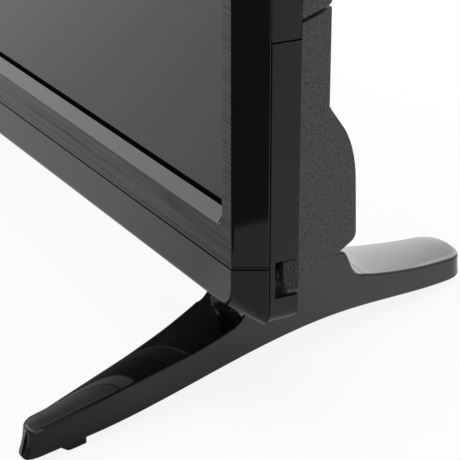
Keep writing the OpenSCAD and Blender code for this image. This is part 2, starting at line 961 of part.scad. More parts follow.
module rear_cover_upper() {
  y_in = cover_in_y;
  color(c_grain) {
    difference() {
      intersection() {
        cover_shell();
        above(seam_z + seam_half);
      }
      for (x = [-vesa_pitch / 2, vesa_pitch / 2], z = [vesa_z - vesa_pitch / 2, vesa_z + vesa_pitch / 2])
        rod_y(x, z, y_in - step, back_y + step, vesa_clear);
      both_sides()
        for (p = screw_up) {
          rod_y(p[0], p[1], thin_y - cover_wall - step, thin_y + step, shank_r + slim);
          rod_y(p[0], p[1], thin_y - cover_head_h, thin_y + step, cover_head_r + slim);
        }
      both_sides()
        for (i = [0:vent_n - 1])
          box(vent_x0 + vent_pitch * i, vent_x0 + vent_pitch * i + vent_w, y_in - step, back_y + step,
            vent_z0, vent_z0 + vent_len);
      for (i = [0:slot_n - 1])
        box(slot_pitch * (i - slot_n / 2), slot_pitch * (i - slot_n / 2) + slot_w,
          thin_y - cover_wall - step, thin_y + step, slot_z, slot_z + slot_len);
      for (i = [0:key_n - 1])
        box(key_x - key_w / 2 - key_gap, key_x + key_w / 2 + key_gap, y_in - step, back_y + step,
          key_z(i) - key_h / 2 - key_gap, key_z(i) + key_h / 2 + key_gap);
      socket_hole(hdmi_1_z, hdmi_w, hdmi_h);
      socket_hole(hdmi_2_z, hdmi_w, hdmi_h);
      socket_hole(usb_z, usb_w, usb_h);
      socket_hole(jack_z, jack_w, jack_h);
      rod_x(ant_y, ant_z, -rec_wall_x - step, -rec_wall_x + cover_wall + step, ant_r + ant_gap);
      box(rec_wall_x - cover_wall - step, rec_wall_x + step, ac_yc - ac_h / 2 - socket_gap,
        ac_yc + ac_h / 2 + socket_gap, ac_zc - ac_w / 2 - socket_gap, ac_zc + ac_w / 2 + socket_gap);
    }
    for (z = [key_z(0) - key_board_in, key_z(key_n - 1) + key_board_in])
      difference() {
        rod_y(key_x, z, key_board_y + board_t, y_in + step, post_r);
        rod_y(key_x, z, key_board_y, y_in - step, post_bore);
      }
  }
}
module cover_tab() {
  translate([cover_hw - tab_in - tab_t, 0, 0])
    rotate([90, 0, 90])
      linear_extrude(height = tab_t)
        polygon(concat(
          [[rim_y + step, cover_z0], [rim_y + step, notch_z1 - slim], [rim_y - tab_d, notch_z1 - slim]],
          [for (a = [0:arc_fine:quarter])
            [rim_y - tab_d + tab_r - tab_r * cos(a), cover_z0 + tab_r - tab_r * sin(a)]]));
}
module rear_cover_lower() {
  color(c_grain)
    difference() {
      union() {
        intersection() {
          cover_shell();
          below(seam_z - seam_half);
        }
        intersection() {
          difference() {
            cover_solid(cover_wall, cover_wall);
            cover_solid(cover_wall + tongue_t, cover_wall);
          }
          box(-out_hw, out_hw, rim_y, back_y, seam_z - tongue_h, seam_z + tongue_h);
        }
        both_sides()
          cover_tab();
      }
      both_sides()
        for (p = screw_low) {
          rod_y(p[0], p[1], thin_y - cover_wall - step, thin_y + step, shank_r + slim);
          rod_y(p[0], p[1], thin_y - cover_head_h, thin_y + step, cover_head_r + slim);
        }
      both_sides()
        for (i = [0:grille_n - 1])
          box(speaker_xc + grille_pitch * (i - grille_n / 2),
            speaker_xc + grille_pitch * (i - grille_n / 2) + grille_w,
            speaker_yc - grille_len / 2, speaker_yc + grille_len / 2, cover_z0 - step, speaker_z0 + step);
      both_sides()
        on_foot()
          for (u = bolt_u)
            rod_z(-bolt_v, u, cover_z0 - step, speaker_z0 + step, bolt_r);
    }
}

// Signal side
module board(x0, x1, y, z0, z1, pts) {
  difference() {
    box(x0, x1, y, y + board_t, z0, z1);
    for (p = pts)
      rod_y(p[0], p[1], y - step, y + board_t + step, post_bore);
  }
}
module chip(x, z, w, h, y, t) {
  box(x - w / 2, x + w / 2, y - slim, y + t, z - h / 2, z + h / 2);
}
module main_board() {
  color(c_board) {
    board(main_x0, main_x1, main_y, main_z0, main_z1, main_pts);
    for (z = [memory_up, memory_up + memory_pitch])
      chip(main_x1 - memory_in, main_z0 + z, memory_w, memory_l, main_top, chip_h);
    chip(main_x1 - flash_in, main_z0 + flash_up, flash_w, flash_l, main_top, chip_h);
    chip(main_x1 - choke_in, main_z0 + choke_up, choke_side, choke_side, main_top, 2 * chip_h);
  }
}
module soc_heatsink() {
  color(c_metal) {
    chip(sink_x, sink_z, sink_side, sink_side, main_top + slim, sink_base);
    for (i = [0:fin_n - 1])
      box(sink_x - sink_side / 2 + (sink_side - fin_t) * i / (fin_n - 1),
        sink_x - sink_side / 2 + (sink_side - fin_t) * i / (fin_n - 1) + fin_t,
        main_top + sink_base, main_top + sink_h, sink_z - sink_side / 2, sink_z + sink_side / 2);
  }
}
module tuner_can() {
  color(c_metal)
    box(can_x1 - can_deep, can_x1, main_top, main_top + can_h,
      ant_z - can_w / 2 + can_h / 2, ant_z + can_w / 2);
}
module antenna_socket() {
  x1 = can_x1 - can_deep;
  color(c_metal)
    difference() {
      rod_x(ant_y, ant_z, -rec_wall_x - ant_out, x1, ant_r);
      rod_x(ant_y, ant_z, -rec_wall_x - ant_out - step, x1 - shell_t, ant_core);
    }
}
module wide_socket(z, w, h, deep) {
  x1 = -socket_face + deep;
  color(c_metal)
    difference() {
      box(-socket_face, x1, main_top, main_top + h, z - w / 2, z + w / 2);
      difference() {
        box(-socket_face - step, -socket_face + mouth_deep, main_top + shell_t, main_top + h - shell_t,
          z - w / 2 + shell_t, z + w / 2 - shell_t);
        box(-socket_face + step, x1, main_top + h / 2 - tongue_w, main_top + h / 2 + tongue_w,
          z - w / 2 + 2 * step, z + w / 2 - 2 * step);
      }
    }
}
module hdmi_socket_1() {
  wide_socket(hdmi_1_z, hdmi_w, hdmi_h, hdmi_deep);
}
module hdmi_socket_2() {
  wide_socket(hdmi_2_z, hdmi_w, hdmi_h, hdmi_deep);
}
module usb_socket() {
  wide_socket(usb_z, usb_w, usb_h, hdmi_deep);
}
module headphone_jack() {
  color(c_dark)
    difference() {
      box(-socket_face, -socket_face + hdmi_deep, main_top, main_top + jack_h,
        jack_z - jack_w / 2, jack_z + jack_w / 2);
      rod_x(jack_y, jack_z, -socket_face - step, -socket_face + jack_deep, jack_bore);
    }
}

// Power side
module power_board() {
  color(c_board) {
    board(power_x0, power_x1, power_y, power_z0, power_z1, power_pts);
    chip(power_x0 + plate_in, power_z0 + plate_low_up, plate_low_w, plate_t, power_top, coil_h);
    chip(power_x0 + plate_in, power_z0 + plate_high_up, plate_high_w, plate_t, power_top, coil_h);
    chip(power_x0 + relay_in, power_z0 + relay_up, relay_w, relay_l, power_top, 3 * chip_h);
  }
}
module transformer() {
  color(c_amber) {
    box(coil_x - coil_w / 2, coil_x + coil_w / 2, power_top, power_top + coil_h - core_over / 2,
      coil_z - coil_d / 2, coil_z + coil_d / 2);
    box(coil_x - coil_w / 2 - core_over, coil_x + coil_w / 2 + core_over,
      power_top + core_over, power_top + coil_h, coil_z - coil_d / 4, coil_z + coil_d / 4);
  }
}
module bulk_capacitors() {
  color(c_dark)
    for (p = cap_pts)
      rod_y(p[0], p[1], power_top, power_top + cap_h, cap_r);
}
module ac_inlet() {
  x1 = socket_face;
  y0 = ac_yc - ac_h / 2;
  y1 = ac_yc + ac_h / 2;
  wall_in = rec_wall_x - cover_wall;
  color(c_dark)
    difference() {
      union() {
        box(x1 - ac_deep, x1, y0, y1, ac_zc - ac_w / 2, ac_zc + ac_w / 2);
        box(wall_in - ac_flange, wall_in, y0 - step, y1,
          ac_zc - ac_w / 2 - ac_flange, ac_zc + ac_w / 2 + ac_flange);
      }
      difference() {
        union() {
          box(x1 - ac_cup_deep, x1 + step, ac_yc - ac_cup_r + step, ac_yc + ac_cup_r - step,
            ac_zc - ac_cup_off, ac_zc + ac_cup_off);
          for (s = [-1, 1])
            rod_x(ac_yc, ac_zc + s * ac_cup_off, x1 - ac_cup_deep, x1 + step, ac_cup_r);
        }
        for (s = [-1, 1])
          rod_x(ac_yc, ac_zc + s * ac_cup_off, x1 - ac_cup_deep - step,
            x1 - ac_cup_deep + ac_pin_len, ac_pin_r);
      }
    }
}

// Keys on the back
module key_board() {
  z0 = key_z(0) - key_board_in;
  z1 = key_z(key_n - 1) + key_board_in;
  top = key_board_y + board_t;
  color(c_board) {
    board(key_x - key_board_over, key_x + key_board_over, key_board_y, z0 - hole_in, z1 + hole_in,
      [[key_x, z0], [key_x, z1]]);
    for (i = [0:key_n - 1]) {
      chip(key_x, key_z(i), switch_side, switch_side, top, switch_h);
      rod_y(key_x, key_z(i), top + switch_h - slim, top + switch_h + switch_top, switch_r);
    }
  }
}
module key(i) {
  z = key_z(i);
  y_in = cover_in_y;
  tip = key_board_y + board_t + switch_h + switch_top + key_rest;
  color(c_satin) {
    box(key_x - key_w / 2, key_x + key_w / 2, y_in - key_flange_t, back_y + key_stand,
      z - key_h / 2, z + key_h / 2);
    box(key_x - key_w / 2 - key_flange, key_x + key_w / 2 + key_flange, y_in - key_flange_t, y_in,
      z - key_h / 2 - key_flange, z + key_h / 2 + key_flange);
    rod_y(key_x, z, tip, y_in, key_post_r);
  }
}
module key_1() {
  key(0);
}
module key_2() {
  key(1);
}
module key_3() {
  key(2);
}
module key_4() {
  key(3);
}
module key_5() {
  key(4);
}
module key_6() {
  key(5);
}
module key_7() {
  key(6);
}

// Speakers, right hand side
module speaker_box() {
  z1 = speaker_z0 + speaker_h;
  color(c_dark)
    difference() {
      box(speaker_x0, speaker_x1, speaker_y0, speaker_y1, speaker_z0, z1);
      box(speaker_x0 + speaker_wall, speaker_x1 - speaker_wall,
        speaker_y0 + speaker_wall, speaker_y1 - speaker_wall,
        speaker_z0 + speaker_wall + driver_t, z1 - speaker_wall);
      rod_z(speaker_xc, speaker_yc, speaker_z0 - step, speaker_z0 + 2 * speaker_wall + driver_t, driver_r);
      rod_z(speaker_xc, speaker_yc, speaker_z0 - step, speaker_z0 + driver_t, driver_rim + slim);
      translate([speaker_x0, speaker_y1 + shoulder_r * sin(lean), z1])
        rotate([slope, 0, 0])
          cube([4 * (speaker_x1 - speaker_x0), speaker_h, speaker_h], center = true);
    }
}
module speaker_driver() {
  color(c_dark)
    translate([speaker_xc, speaker_yc, speaker_z0])
      rotate_extrude($fn = bore_fn)
        polygon([
          [driver_r - step, driver_t / 2], [driver_r - step, 0], [driver_rim, 0], [driver_rim, driver_t],
          [driver_r - slim, driver_t], [magnet_r, cone_h + driver_t], [magnet_r, cone_h + magnet_h],
          [0, cone_h + magnet_h], [0, cone_h], [magnet_r / 3, cone_h]]);
}
module speaker_box_right() {
  speaker_box();
}
module speaker_box_left() {
  mirror([1, 0, 0])
    speaker_box();
}
module speaker_driver_right() {
  speaker_driver();
}
module speaker_driver_left() {
  mirror([1, 0, 0])
    speaker_driver();
}

// Wall mount posts
module vesa_inserts() {
  color(c_metal)
    for (x = [-vesa_pitch / 2, vesa_pitch / 2], z = [vesa_z - vesa_pitch / 2, vesa_z + vesa_pitch / 2])
      difference() {
        union() {
          rod_y(x, z, tray_y1, back_y, vesa_post);
          rod_y(x, z, tray_y1, tray_y1 + vesa_base_t, vesa_base);
        }
        rod_y(x, z, back_y - vesa_deep, back_y + step, vesa_r);
      }
}

// Feet, drawn for the right hand side in a frame along the outer face
module on_foot() {
  translate([foot_reach, foot_y, 0])
    rotate([0, 0, foot_turn])
      children();
}
function round_end(e, r) = let(
  t = max(0, min(1, e / r)))
  sqrt(1 - (1 - t) * (1 - t));
function toe_end(u, r) = round_end(u + tip_over, r);
function heel_end(u, r) = round_end(foot_len - u, r);
function heel_line(u) = heel_tip_h
  + (toe_rear_h - heel_tip_h) * pow(max(0, foot_len - u) / (foot_len - hump_u1), heel_sag);
function toe_line(u) =
  u < hump_u0 ? toe_tip_h + (toe_front_h - toe_tip_h) * max(0, u) / hump_u0 :
  u > hump_u1 ? heel_line(u) :
  toe_front_h + (toe_rear_h - toe_front_h) * (u - hump_u0) / (hump_u1 - hump_u0);
function hump_at(u) = pow(ease(min((u - hump_u0) / hump_rise, (hump_u1 - u) / hump_fall)), hump_sharp);
function top_at(u) = toe_line(u) + (hump_h - toe_line(u)) * hump_at(u)
  - tip_dip * (2 - toe_end(u, toe_nose_run) - heel_end(u, heel_nose_run));
function wide_at(u) =
  u < hump_u0 ? toe_front_w + (neck_w - toe_front_w) * max(0, u - toe_straight) / (hump_u0 - toe_straight) :
  u < hump_u1 ? neck_w + (hump_w - neck_w) * ease((u - hump_u0) / neck_run) :
  hump_w + (toe_rear_w - hump_w) * (u - hump_u1) / (foot_len - hump_u1);
function arch_turn(s) = s < arch_peak ? s / arch_peak / 2 : (1 + (s - arch_peak) / (1 - arch_peak)) / 2;
function low_at(u) = pad_t + (u < arch_u0 || u > arch_u1 ? 0 :
  arch_h * sin(2 * quarter * arch_turn((u - arch_u0) / (arch_u1 - arch_u0))));
function kick_at(u) = toe_kick * max(0, 1 - (u + tip_over) / kick_run)
  - heel_kick * max(0, 1 - (foot_len - u) / kick_run);
function foot_pt(u, v, z) =
  [-v, u + end_slant * v - kick_at(u) * (top_at(u) - z) / (top_at(u) - low_at(u)), z];
function foot_ring(u) = let(
  v0 = toe_nose * (1 - toe_end(u, toe_nose_run)) + heel_nose * (1 - heel_end(u, heel_nose_run)),
  v1 = wide_at(u) - toe_tuck * (1 - toe_end(u, toe_tuck_run)) - heel_tuck * (1 - heel_end(u, heel_tuck_run)),
  z0 = low_at(u),
  z1 = top_at(u),
  r = crease_r,
  w = v1 - v0 - 2 * r)
  concat(
    [foot_pt(u, v0 + heel_r, z0), foot_pt(u, v0, z0 + heel_r)],
    [for (a = [0:crease_step:quarter]) foot_pt(u, v0 + r - r * cos(a), z1 - r + r * sin(a))],
    [for (i = [1:crown_n - 1])
      foot_pt(u, v0 + r + w * i / crown_n, z1 + crown * sin(2 * quarter * i / crown_n))],
    [for (a = [quarter:crease_step:2 * quarter]) foot_pt(u, v1 - r - r * cos(a), z1 - r + r * sin(a))],
    [foot_pt(u, v1, z0 + heel_r), foot_pt(u, v1 - heel_r, z0)]);
function foot_u(i) = let(
  t = i / foot_steps,
  s = t < tip_steps ? tip_part * pow(t / tip_steps, 2) :
    t > 1 - tip_steps ? 1 - tip_part * pow((1 - t) / tip_steps, 2) :
    tip_part + (1 - 2 * tip_part) * (t - tip_steps) / (1 - 2 * tip_steps))
  -tip_over + (foot_len + tip_over) * s;
module foot() {
  color(c_gloss)
    difference() {
      on_foot()
        union() {
          loft([for (i = [0:foot_steps]) foot_ring(foot_u(i))]);
          translate([0, 0, stem_z0])
            linear_extrude(height = cover_z0 - stem_z0)
              polygon(rrect(-stem_v1, -stem_v0, stem_u0, stem_u1, stem_r));
        }
      on_foot()
        for (u = bolt_u) {
          rod_z(-bolt_v, u, 0, cover_z0 + step, bolt_r);
          rod_z(-bolt_v, u, 0, bolt_seat, bolt_well_r);
        }
      on_foot()
        pad_blocks();
    }
}
module pad_blocks() {
  for (i = [0, 1])
    box(-pad_v[i] - pad_w, -pad_v[i], pad_u[i], pad_u[i] + pad_len, 0, pad_h[i]);
}
module foot_pads() {
  color(c_rubber)
    on_foot()
      pad_blocks();
}
module foot_bolts() {
  color(c_metal)
    on_foot()
      for (u = bolt_u) {
        rod_z(-bolt_v, u, bolt_seat - bolt_head_h, bolt_seat, bolt_head_r);
        rod_z(-bolt_v, u, bolt_seat - slim, speaker_z0 + bracket_t + bolt_past, bolt_shank);
      }
}
module foot_bracket() {
  color(c_steel)
    difference() {
      union() {
        box(bracket_x0, bracket_x1, tray_y1, bracket_y1, speaker_z0, speaker_z0 + bracket_t);
        box(bracket_x0 + bracket_side, bracket_x1 - bracket_side, tray_y1, tray_y1 + bracket_back_t,
          speaker_z0, speaker_z0 + bracket_h);
      }
      on_foot()
        for (u = bolt_u)
          rod_z(-bolt_v, u, speaker_z0 - step, speaker_z0 + bracket_t + step, bracket_thread);
    }
}
module foot_right() {
  foot();
}
module foot_left() {
  mirror([1, 0, 0])
    foot();
}
module foot_pads_right() {
  foot_pads();
}
module foot_pads_left() {
  mirror([1, 0, 0])
    foot_pads();
}
module foot_bracket_right() {
  foot_bracket();
}
module foot_bracket_left() {
  mirror([1, 0, 0])
    foot_bracket();
}

// Fasteners
module screw_y(x, z, seat, r_head, h_head, length) {
  rod_y(x, z, seat, seat + h_head, r_head);
  rod_y(x, z, seat - length, seat + slim, shank_r);
}
module cover_screws() {
  color(c_metal)
    both_sides()
      for (p = cover_screw_pts)
        screw_y(p[0], p[1], thin_y - cover_head_h, cover_head_r, cover_head_h, cover_screw_len - step);
}
module board_screws() {
  color(c_metal) {
    for (p = main_pts)
      screw_y(p[0], p[1], main_top, head_r, head_h, screw_len);
    for (p = power_pts)
      screw_y(p[0], p[1], power_top, head_r, head_h, stand_power);
    for (z = [key_z(0) - key_board_in, key_z(key_n - 1) + key_board_in]) {
      rod_y(key_x, z, key_board_y - head_h, key_board_y, head_r);
      rod_y(key_x, z, key_board_y - slim, key_board_y + screw_len - hole_in / 2, shank_r);
    }
  }
}
module foot_screws() {
  both_sides()
    foot_bolts();
}

front_bezel();
bottom_trim();
ir_window();
ir_board();
lcd_cell();
panel_frame();
optical_sheets();
diffuser_plate();
reflector_sheet();
led_bars();
led_lenses();
backlight_tray();
source_board();
driver_flexes();
lvds_cable();
frame_upper();
frame_lower();
rear_cover_upper();
rear_cover_lower();
main_board();
soc_heatsink();
tuner_can();
hdmi_socket_1();
hdmi_socket_2();
usb_socket();
headphone_jack();
antenna_socket();
power_board();
transformer();
bulk_capacitors();
ac_inlet();
key_board();
key_1();
key_2();
key_3();
key_4();
key_5();
key_6();
key_7();
speaker_box_left();
speaker_box_right();
speaker_driver_left();
speaker_driver_right();
vesa_inserts();
foot_bracket_left();
foot_bracket_right();
foot_left();
foot_right();
foot_pads_left();
foot_pads_right();
cover_screws();
board_screws();
foot_screws();
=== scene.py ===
"""Flat screen TV on two boomerang feet: the finished look of every piece, in the CAD frame."""
import json
import math

import bmesh
import bpy
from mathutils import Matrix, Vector

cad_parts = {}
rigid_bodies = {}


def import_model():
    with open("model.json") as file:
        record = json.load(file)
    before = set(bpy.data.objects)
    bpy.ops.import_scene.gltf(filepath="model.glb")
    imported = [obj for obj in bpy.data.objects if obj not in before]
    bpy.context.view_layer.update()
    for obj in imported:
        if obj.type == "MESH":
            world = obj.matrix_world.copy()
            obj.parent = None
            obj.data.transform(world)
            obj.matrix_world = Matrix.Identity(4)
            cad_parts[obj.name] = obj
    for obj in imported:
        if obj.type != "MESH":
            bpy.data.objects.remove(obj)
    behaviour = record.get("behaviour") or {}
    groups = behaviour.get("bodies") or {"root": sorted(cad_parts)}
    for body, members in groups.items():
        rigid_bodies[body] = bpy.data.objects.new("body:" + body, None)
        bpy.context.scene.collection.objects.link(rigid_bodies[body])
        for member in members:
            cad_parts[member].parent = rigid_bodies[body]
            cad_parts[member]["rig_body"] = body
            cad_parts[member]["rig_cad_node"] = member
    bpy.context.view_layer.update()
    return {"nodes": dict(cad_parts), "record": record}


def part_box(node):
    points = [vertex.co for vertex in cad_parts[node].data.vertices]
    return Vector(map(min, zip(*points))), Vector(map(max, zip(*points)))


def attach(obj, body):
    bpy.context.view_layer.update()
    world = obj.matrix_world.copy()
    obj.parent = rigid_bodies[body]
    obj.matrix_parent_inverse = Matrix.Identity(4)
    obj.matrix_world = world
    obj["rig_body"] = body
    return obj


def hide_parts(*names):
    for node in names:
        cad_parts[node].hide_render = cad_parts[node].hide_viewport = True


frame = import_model()
nodes = frame["nodes"]
MM = 0.001
TOUCH = 0.01 * MM
MERGE = 0.001 * MM

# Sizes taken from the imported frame
bezel_low, bezel_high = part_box("front_bezel")
trim_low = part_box("bottom_trim")[0]
rim_low, rim_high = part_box("frame_lower")
rim_up_low, rim_up_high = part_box("frame_upper")
glass_low, glass_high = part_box("lcd_cell")

# Bezel and lower strip
out_hw = bezel_high.x
out_top = bezel_high.z
hang = 0.8 * MM
out_low = trim_low.z - hang
face_y = bezel_low.y
bezel_y = bezel_high.y
glass_y = glass_low.y
flare = 5.5 * MM
drop = 5.8 * MM
border = 6 * MM
band = 10.7 * MM
strip_h = 12.4 * MM + hang
seam_h = 1.2 * MM
groove_deep = 0.9 * MM
tongue_gap = 0.04 * MM
tongue_foot = 1 * MM
bead_in = 0.3 * MM
window_lip = 3 * MM
window_lip_low = 4.3 * MM
wall = 2.2 * MM
slant_share = 0.7
round_share = 0.5
lip_rim = 1.2 * MM
foam = 0.4 * MM
face_r = 7 * MM
rear_r = 3 * MM
window_r = 4 * MM
lip_r_less = 1 * MM
corner_steps = 8
face_edge = 1.0 * MM
fine_edge = 0.35 * MM
seam_edge = 0.3 * MM
bead_edge = 0.02 * MM
face_hw = out_hw - flare
face_low = out_low + drop
face_top = out_top - flare
seam_low = face_low + strip_h
seam_top = seam_low + seam_h
window_hw = face_hw - border
window_low = seam_top + band
window_top = face_top - border

# Slot of the remote receiver
slot_room = 0.2 * MM
slot_wing = 1.5 * MM
slot_lip = 0.3 * MM

# Picture glass
picture_in = 5 * MM
picture_step = 0.8 * MM
picture_edge = 0.25 * MM
picture_area = 0.1

# Rim
rim_y = rim_high.y
rim_wall = 2.2 * MM
rim_r = 3.2 * MM
rim_edge = 0.5 * MM
rim_hang = 1.6 * MM
rim_groove = 0.8 * MM
rim_gap = 0.85 * MM
notch_low = rim_low.z + 6.5 * MM
notch_top = rim_low.z + 18.6 * MM
notch_deep = 8.3 * MM
notch_in = 5 * MM
notch_r = 0.4 * MM
notch_wall_t = 1.5 * MM
notch_wall_over = 2 * MM
notch_edge = 0.28 * MM
long_edge = 40 * MM
hook_y = 4.4 * MM
hook_down = 6.2 * MM
hook_r = 1.1 * MM
hook_stretch = (1.6, 1, 1.7)
highlight_reach = 2 * MM
highlight_proud = 0.05 * MM
lip_end = (3 * MM, 3.4 * MM)
lip_wall_t = 2 * MM
lip_wall_in = 12 * MM
lip_wall_h = 12 * MM

# Rear cover
cover_wall = 2.3 * MM
cover_edge = 0.45 * MM
tab_x = rim_high.x - 0.85 * MM
tab_out = 0.5 * MM
cover_taper = 0.64
sliver = 0.25 * MM
small_edge = 1.7 * MM
side_in = 339.5 * MM
side_slant = 0.8
bulge_end = 300 * MM
bulge_y = 1 * MM
bulge_low = 62 * MM
bulge_in = 0.6 * MM
bulge_up = 1.5 * MM

# Cover screws
head_t = 1.4 * MM
head_edge = 0.5 * MM
shank_r = 1.5 * MM
cross_long = 4.2 * MM
cross_wide = 0.9 * MM
cross_deep = 0.8 * MM

# Keys
key_flange = 1.6 * MM
key_flange_t = 1 * MM
key_rim = 1.1 * MM
key_dish = 1.2 * MM
key_dish_deep = 0.3 * MM
key_plunger_in = 4.2 * MM
key_corner = 0.9 * MM
key_edge = 0.3 * MM


# Colour and nodes

NOISE = "ShaderNodeTexNoise"
CELLS = "ShaderNodeTexVoronoi"
RAMP = "ShaderNodeValToRGB"
RANGE = "ShaderNodeMapRange"
BUMP = "ShaderNodeBump"
SHADER = "ShaderNodeBsdfPrincipled"
OUTPUT = "ShaderNodeOutputMaterial"


def linear(colour):
    """Linear RGBA of an sRGB hex colour."""
    values = [int(colour[i:i + 2], 16) / 255 for i in (1, 3, 5)]
    return tuple(v / 12.92 if v <= 0.04045 else ((v + 0.055) / 1.055) ** 2.4
                 for v in values) + (1.0,)


def grey(value):
    return (value, value, value, 1.0)


def per_mm(size):
    """Texture scale whose pattern repeats every size millimetres."""
    return 1000 / size


def add(tree, kind, inputs=None, stops=(), **settings):
    """Adds a node with its settings and links. An input is a value or the socket that feeds it,
    and stops are the places and colours along a ramp."""
    made = tree.nodes.new(kind)
    for name, value in settings.items():
        setattr(made, name, value)
    for name, value in (inputs or {}).items():
        if isinstance(value, bpy.types.NodeSocket):
            tree.links.new(value, made.inputs[name])
        else:
            made.inputs[name].default_value = value
    for count, (spot, colour) in enumerate(stops):
        steps = made.color_ramp.elements
        step = steps[count] if count < 2 else steps.new(spot)
        step.position = spot
        step.color = colour
    return made


def blank(name):
    """A new material with an empty node tree, and the object coordinates that its patterns read."""
    material = bpy.data.materials.new(name)
    material.use_nodes = True
    tree = material.node_tree
    tree.nodes.clear()
    place = add(tree, "ShaderNodeTexCoord").outputs["Object"]
    return material, tree, place


# Materials

def gloss_black_abs():
    """Piano black ABS, polished mould: deep black with clear reflections, a trace of wave and
    fine dust."""
    material, tree, place = blank("gloss_black_abs_polished")
    wave = add(tree, NOISE, {"Vector": place, "Scale": per_mm(9), "Detail": 1.0})
    dust = add(tree, NOISE, {"Vector": place, "Scale": per_mm(1.1), "Detail": 4.0})
    haze = add(tree, RAMP, {"Fac": dust.outputs["Fac"]},
               ((0.35, grey(0.03)), (0.8, grey(0.075))))
    tint = add(tree, RAMP, {"Fac": dust.outputs["Fac"]},
               ((0.3, linear("#080809")), (0.8, linear("#0f0f10"))))
    bump = add(tree, BUMP, {
        "Height": wave.outputs["Fac"], "Strength": 0.05, "Distance": 0.2 * MM})
    shader = add(tree, SHADER, {
        "Base Color": tint.outputs["Color"], "Roughness": haze.outputs["Color"],
        "Normal": bump.outputs["Normal"], "IOR": 1.52})
    add(tree, OUTPUT, {"Surface": shader.outputs["BSDF"]})
    return material


def brushed_black_film():
    """Hairline decorated ABS: level streaks that break the reflection into fine lighter and
    darker lines."""
    material, tree, place = blank("black_abs_hairline_brushed")
    # Real hairlines are finer; these are drawn 0.7 mm high and 60 mm long so that they show
    stretch = add(tree, "ShaderNodeMapping", {
        "Vector": place, "Scale": (per_mm(60), per_mm(60), per_mm(0.7))})
    hair = add(tree, NOISE, {
        "Vector": stretch.outputs["Vector"], "Scale": 1.0, "Detail": 5.0, "Roughness": 0.7})
    shade = add(tree, RAMP, {"Fac": hair.outputs["Fac"]},
                ((0.3, linear("#070708")), (0.7, linear("#222223"))))
    rough = add(tree, RAMP, {"Fac": hair.outputs["Fac"]},
                ((0.3, grey(0.16)), (0.7, grey(0.34))))
    shine = add(tree, RAMP, {"Fac": hair.outputs["Fac"]},
                ((0.3, grey(0.08)), (0.7, grey(0.58))))
    bump = add(tree, BUMP, {
        "Height": hair.outputs["Fac"], "Strength": 0.25, "Distance": 0.06 * MM})
    shader = add(tree, SHADER, {
        "Base Color": shade.outputs["Color"], "Roughness": rough.outputs["Color"],
        "Normal": bump.outputs["Normal"], "IOR": 1.5,
        "Specular IOR Level": shine.outputs["Color"]})
    add(tree, OUTPUT, {"Surface": shader.outputs["BSDF"]})
    return material


def satin_black_abs():
    """Satin ABS, fine spark finish: an even dark grey with a soft broad sheen."""
    material, tree, place = blank("satin_black_abs_spark_finish")
    # The sparks are finer than half a millimetre and are drawn at that
    spark = add(tree, NOISE, {"Vector": place, "Scale": per_mm(0.5), "Detail": 3.0})
    cloud = add(tree, NOISE, {"Vector": place, "Scale": per_mm(14), "Detail": 2.0})
    shade = add(tree, RAMP, {"Fac": cloud.outputs["Fac"]},
                ((0.3, linear("#131314")), (0.7, linear("#1a1a1b"))))
    rough = add(tree, RAMP, {"Fac": spark.outputs["Fac"]},
                ((0.3, grey(0.34)), (0.7, grey(0.44))))
    bump = add(tree, BUMP, {
        "Height": spark.outputs["Fac"], "Strength": 0.08, "Distance": 0.05 * MM})
    shader = add(tree, SHADER, {
        "Base Color": shade.outputs["Color"], "Roughness": rough.outputs["Color"],
        "Normal": bump.outputs["Normal"], "IOR": 1.5})
    add(tree, OUTPUT, {"Surface": shader.outputs["BSDF"]})
    return material


def grained_grey_hips():
    """Etched HIPS: a fine leathery mould grain with small mottles, dull and dark grey."""
    material, tree, place = blank("dark_grey_hips_etched_grain")
    # The grain is drawn at 0.5 to 0.7 mm, coarser than etched moulds have, so that it shows
    drawn = add(tree, "ShaderNodeMapping", {"Vector": place, "Scale": (0.75, 0.75, 1.0)})
    grain = add(tree, CELLS, {"Vector": drawn.outputs["Vector"], "Scale": per_mm(0.7)},
                feature="SMOOTH_F1")
    fleck = add(tree, NOISE, {
        "Vector": drawn.outputs["Vector"], "Scale": per_mm(0.52), "Detail": 1.0,
        "Roughness": 0.5})
    shade = add(tree, RAMP, {"Fac": fleck.outputs["Fac"]},
                ((0.34, linear("#232324")), (0.66, linear("#383839"))))
    rough = add(tree, RAMP, {"Fac": fleck.outputs["Fac"]},
                ((0.3, grey(0.5)), (0.7, grey(0.68))))
    shine = add(tree, RAMP, {"Fac": fleck.outputs["Fac"]},
                ((0.4, grey(0.1)), (0.74, grey(0.72))))
    coarse = add(tree, BUMP, {
        "Height": grain.outputs["Distance"], "Strength": 0.12, "Distance": 0.25 * MM})
    bump = add(tree, BUMP, {
        "Height": fleck.outputs["Fac"], "Strength": 0.12, "Distance": 0.2 * MM,
        "Normal": coarse.outputs["Normal"]})
    shader = add(tree, SHADER, {
        "Base Color": shade.outputs["Color"], "Roughness": rough.outputs["Color"],
        "Normal": bump.outputs["Normal"], "IOR": 1.5,
        "Specular IOR Level": shine.outputs["Color"]})
    add(tree, OUTPUT, {"Surface": shader.outputs["BSDF"]})
    return material


def screen_film():
    """Anti-glare polariser over an unlit LCD: near black glass under a fine etched film that
    blurs reflections."""
    material, tree, place = blank("lcd_glass_anti_glare_film")
    # The etching is far finer than the 0.35 mm that it is drawn at
    etch = add(tree, NOISE, {"Vector": place, "Scale": per_mm(0.35), "Detail": 3.0})
    rough = add(tree, RAMP, {"Fac": etch.outputs["Fac"]},
                ((0.3, grey(0.2)), (0.7, grey(0.26))))
    shade = add(tree, RAMP, {"Fac": etch.outputs["Fac"]},
                ((0.3, linear("#17181a")), (0.7, linear("#1c1d1f"))))
    shader = add(tree, SHADER, {
        "Base Color": shade.outputs["Color"], "Roughness": rough.outputs["Color"], "IOR": 1.45})
    add(tree, OUTPUT, {"Surface": shader.outputs["BSDF"]})
    return material


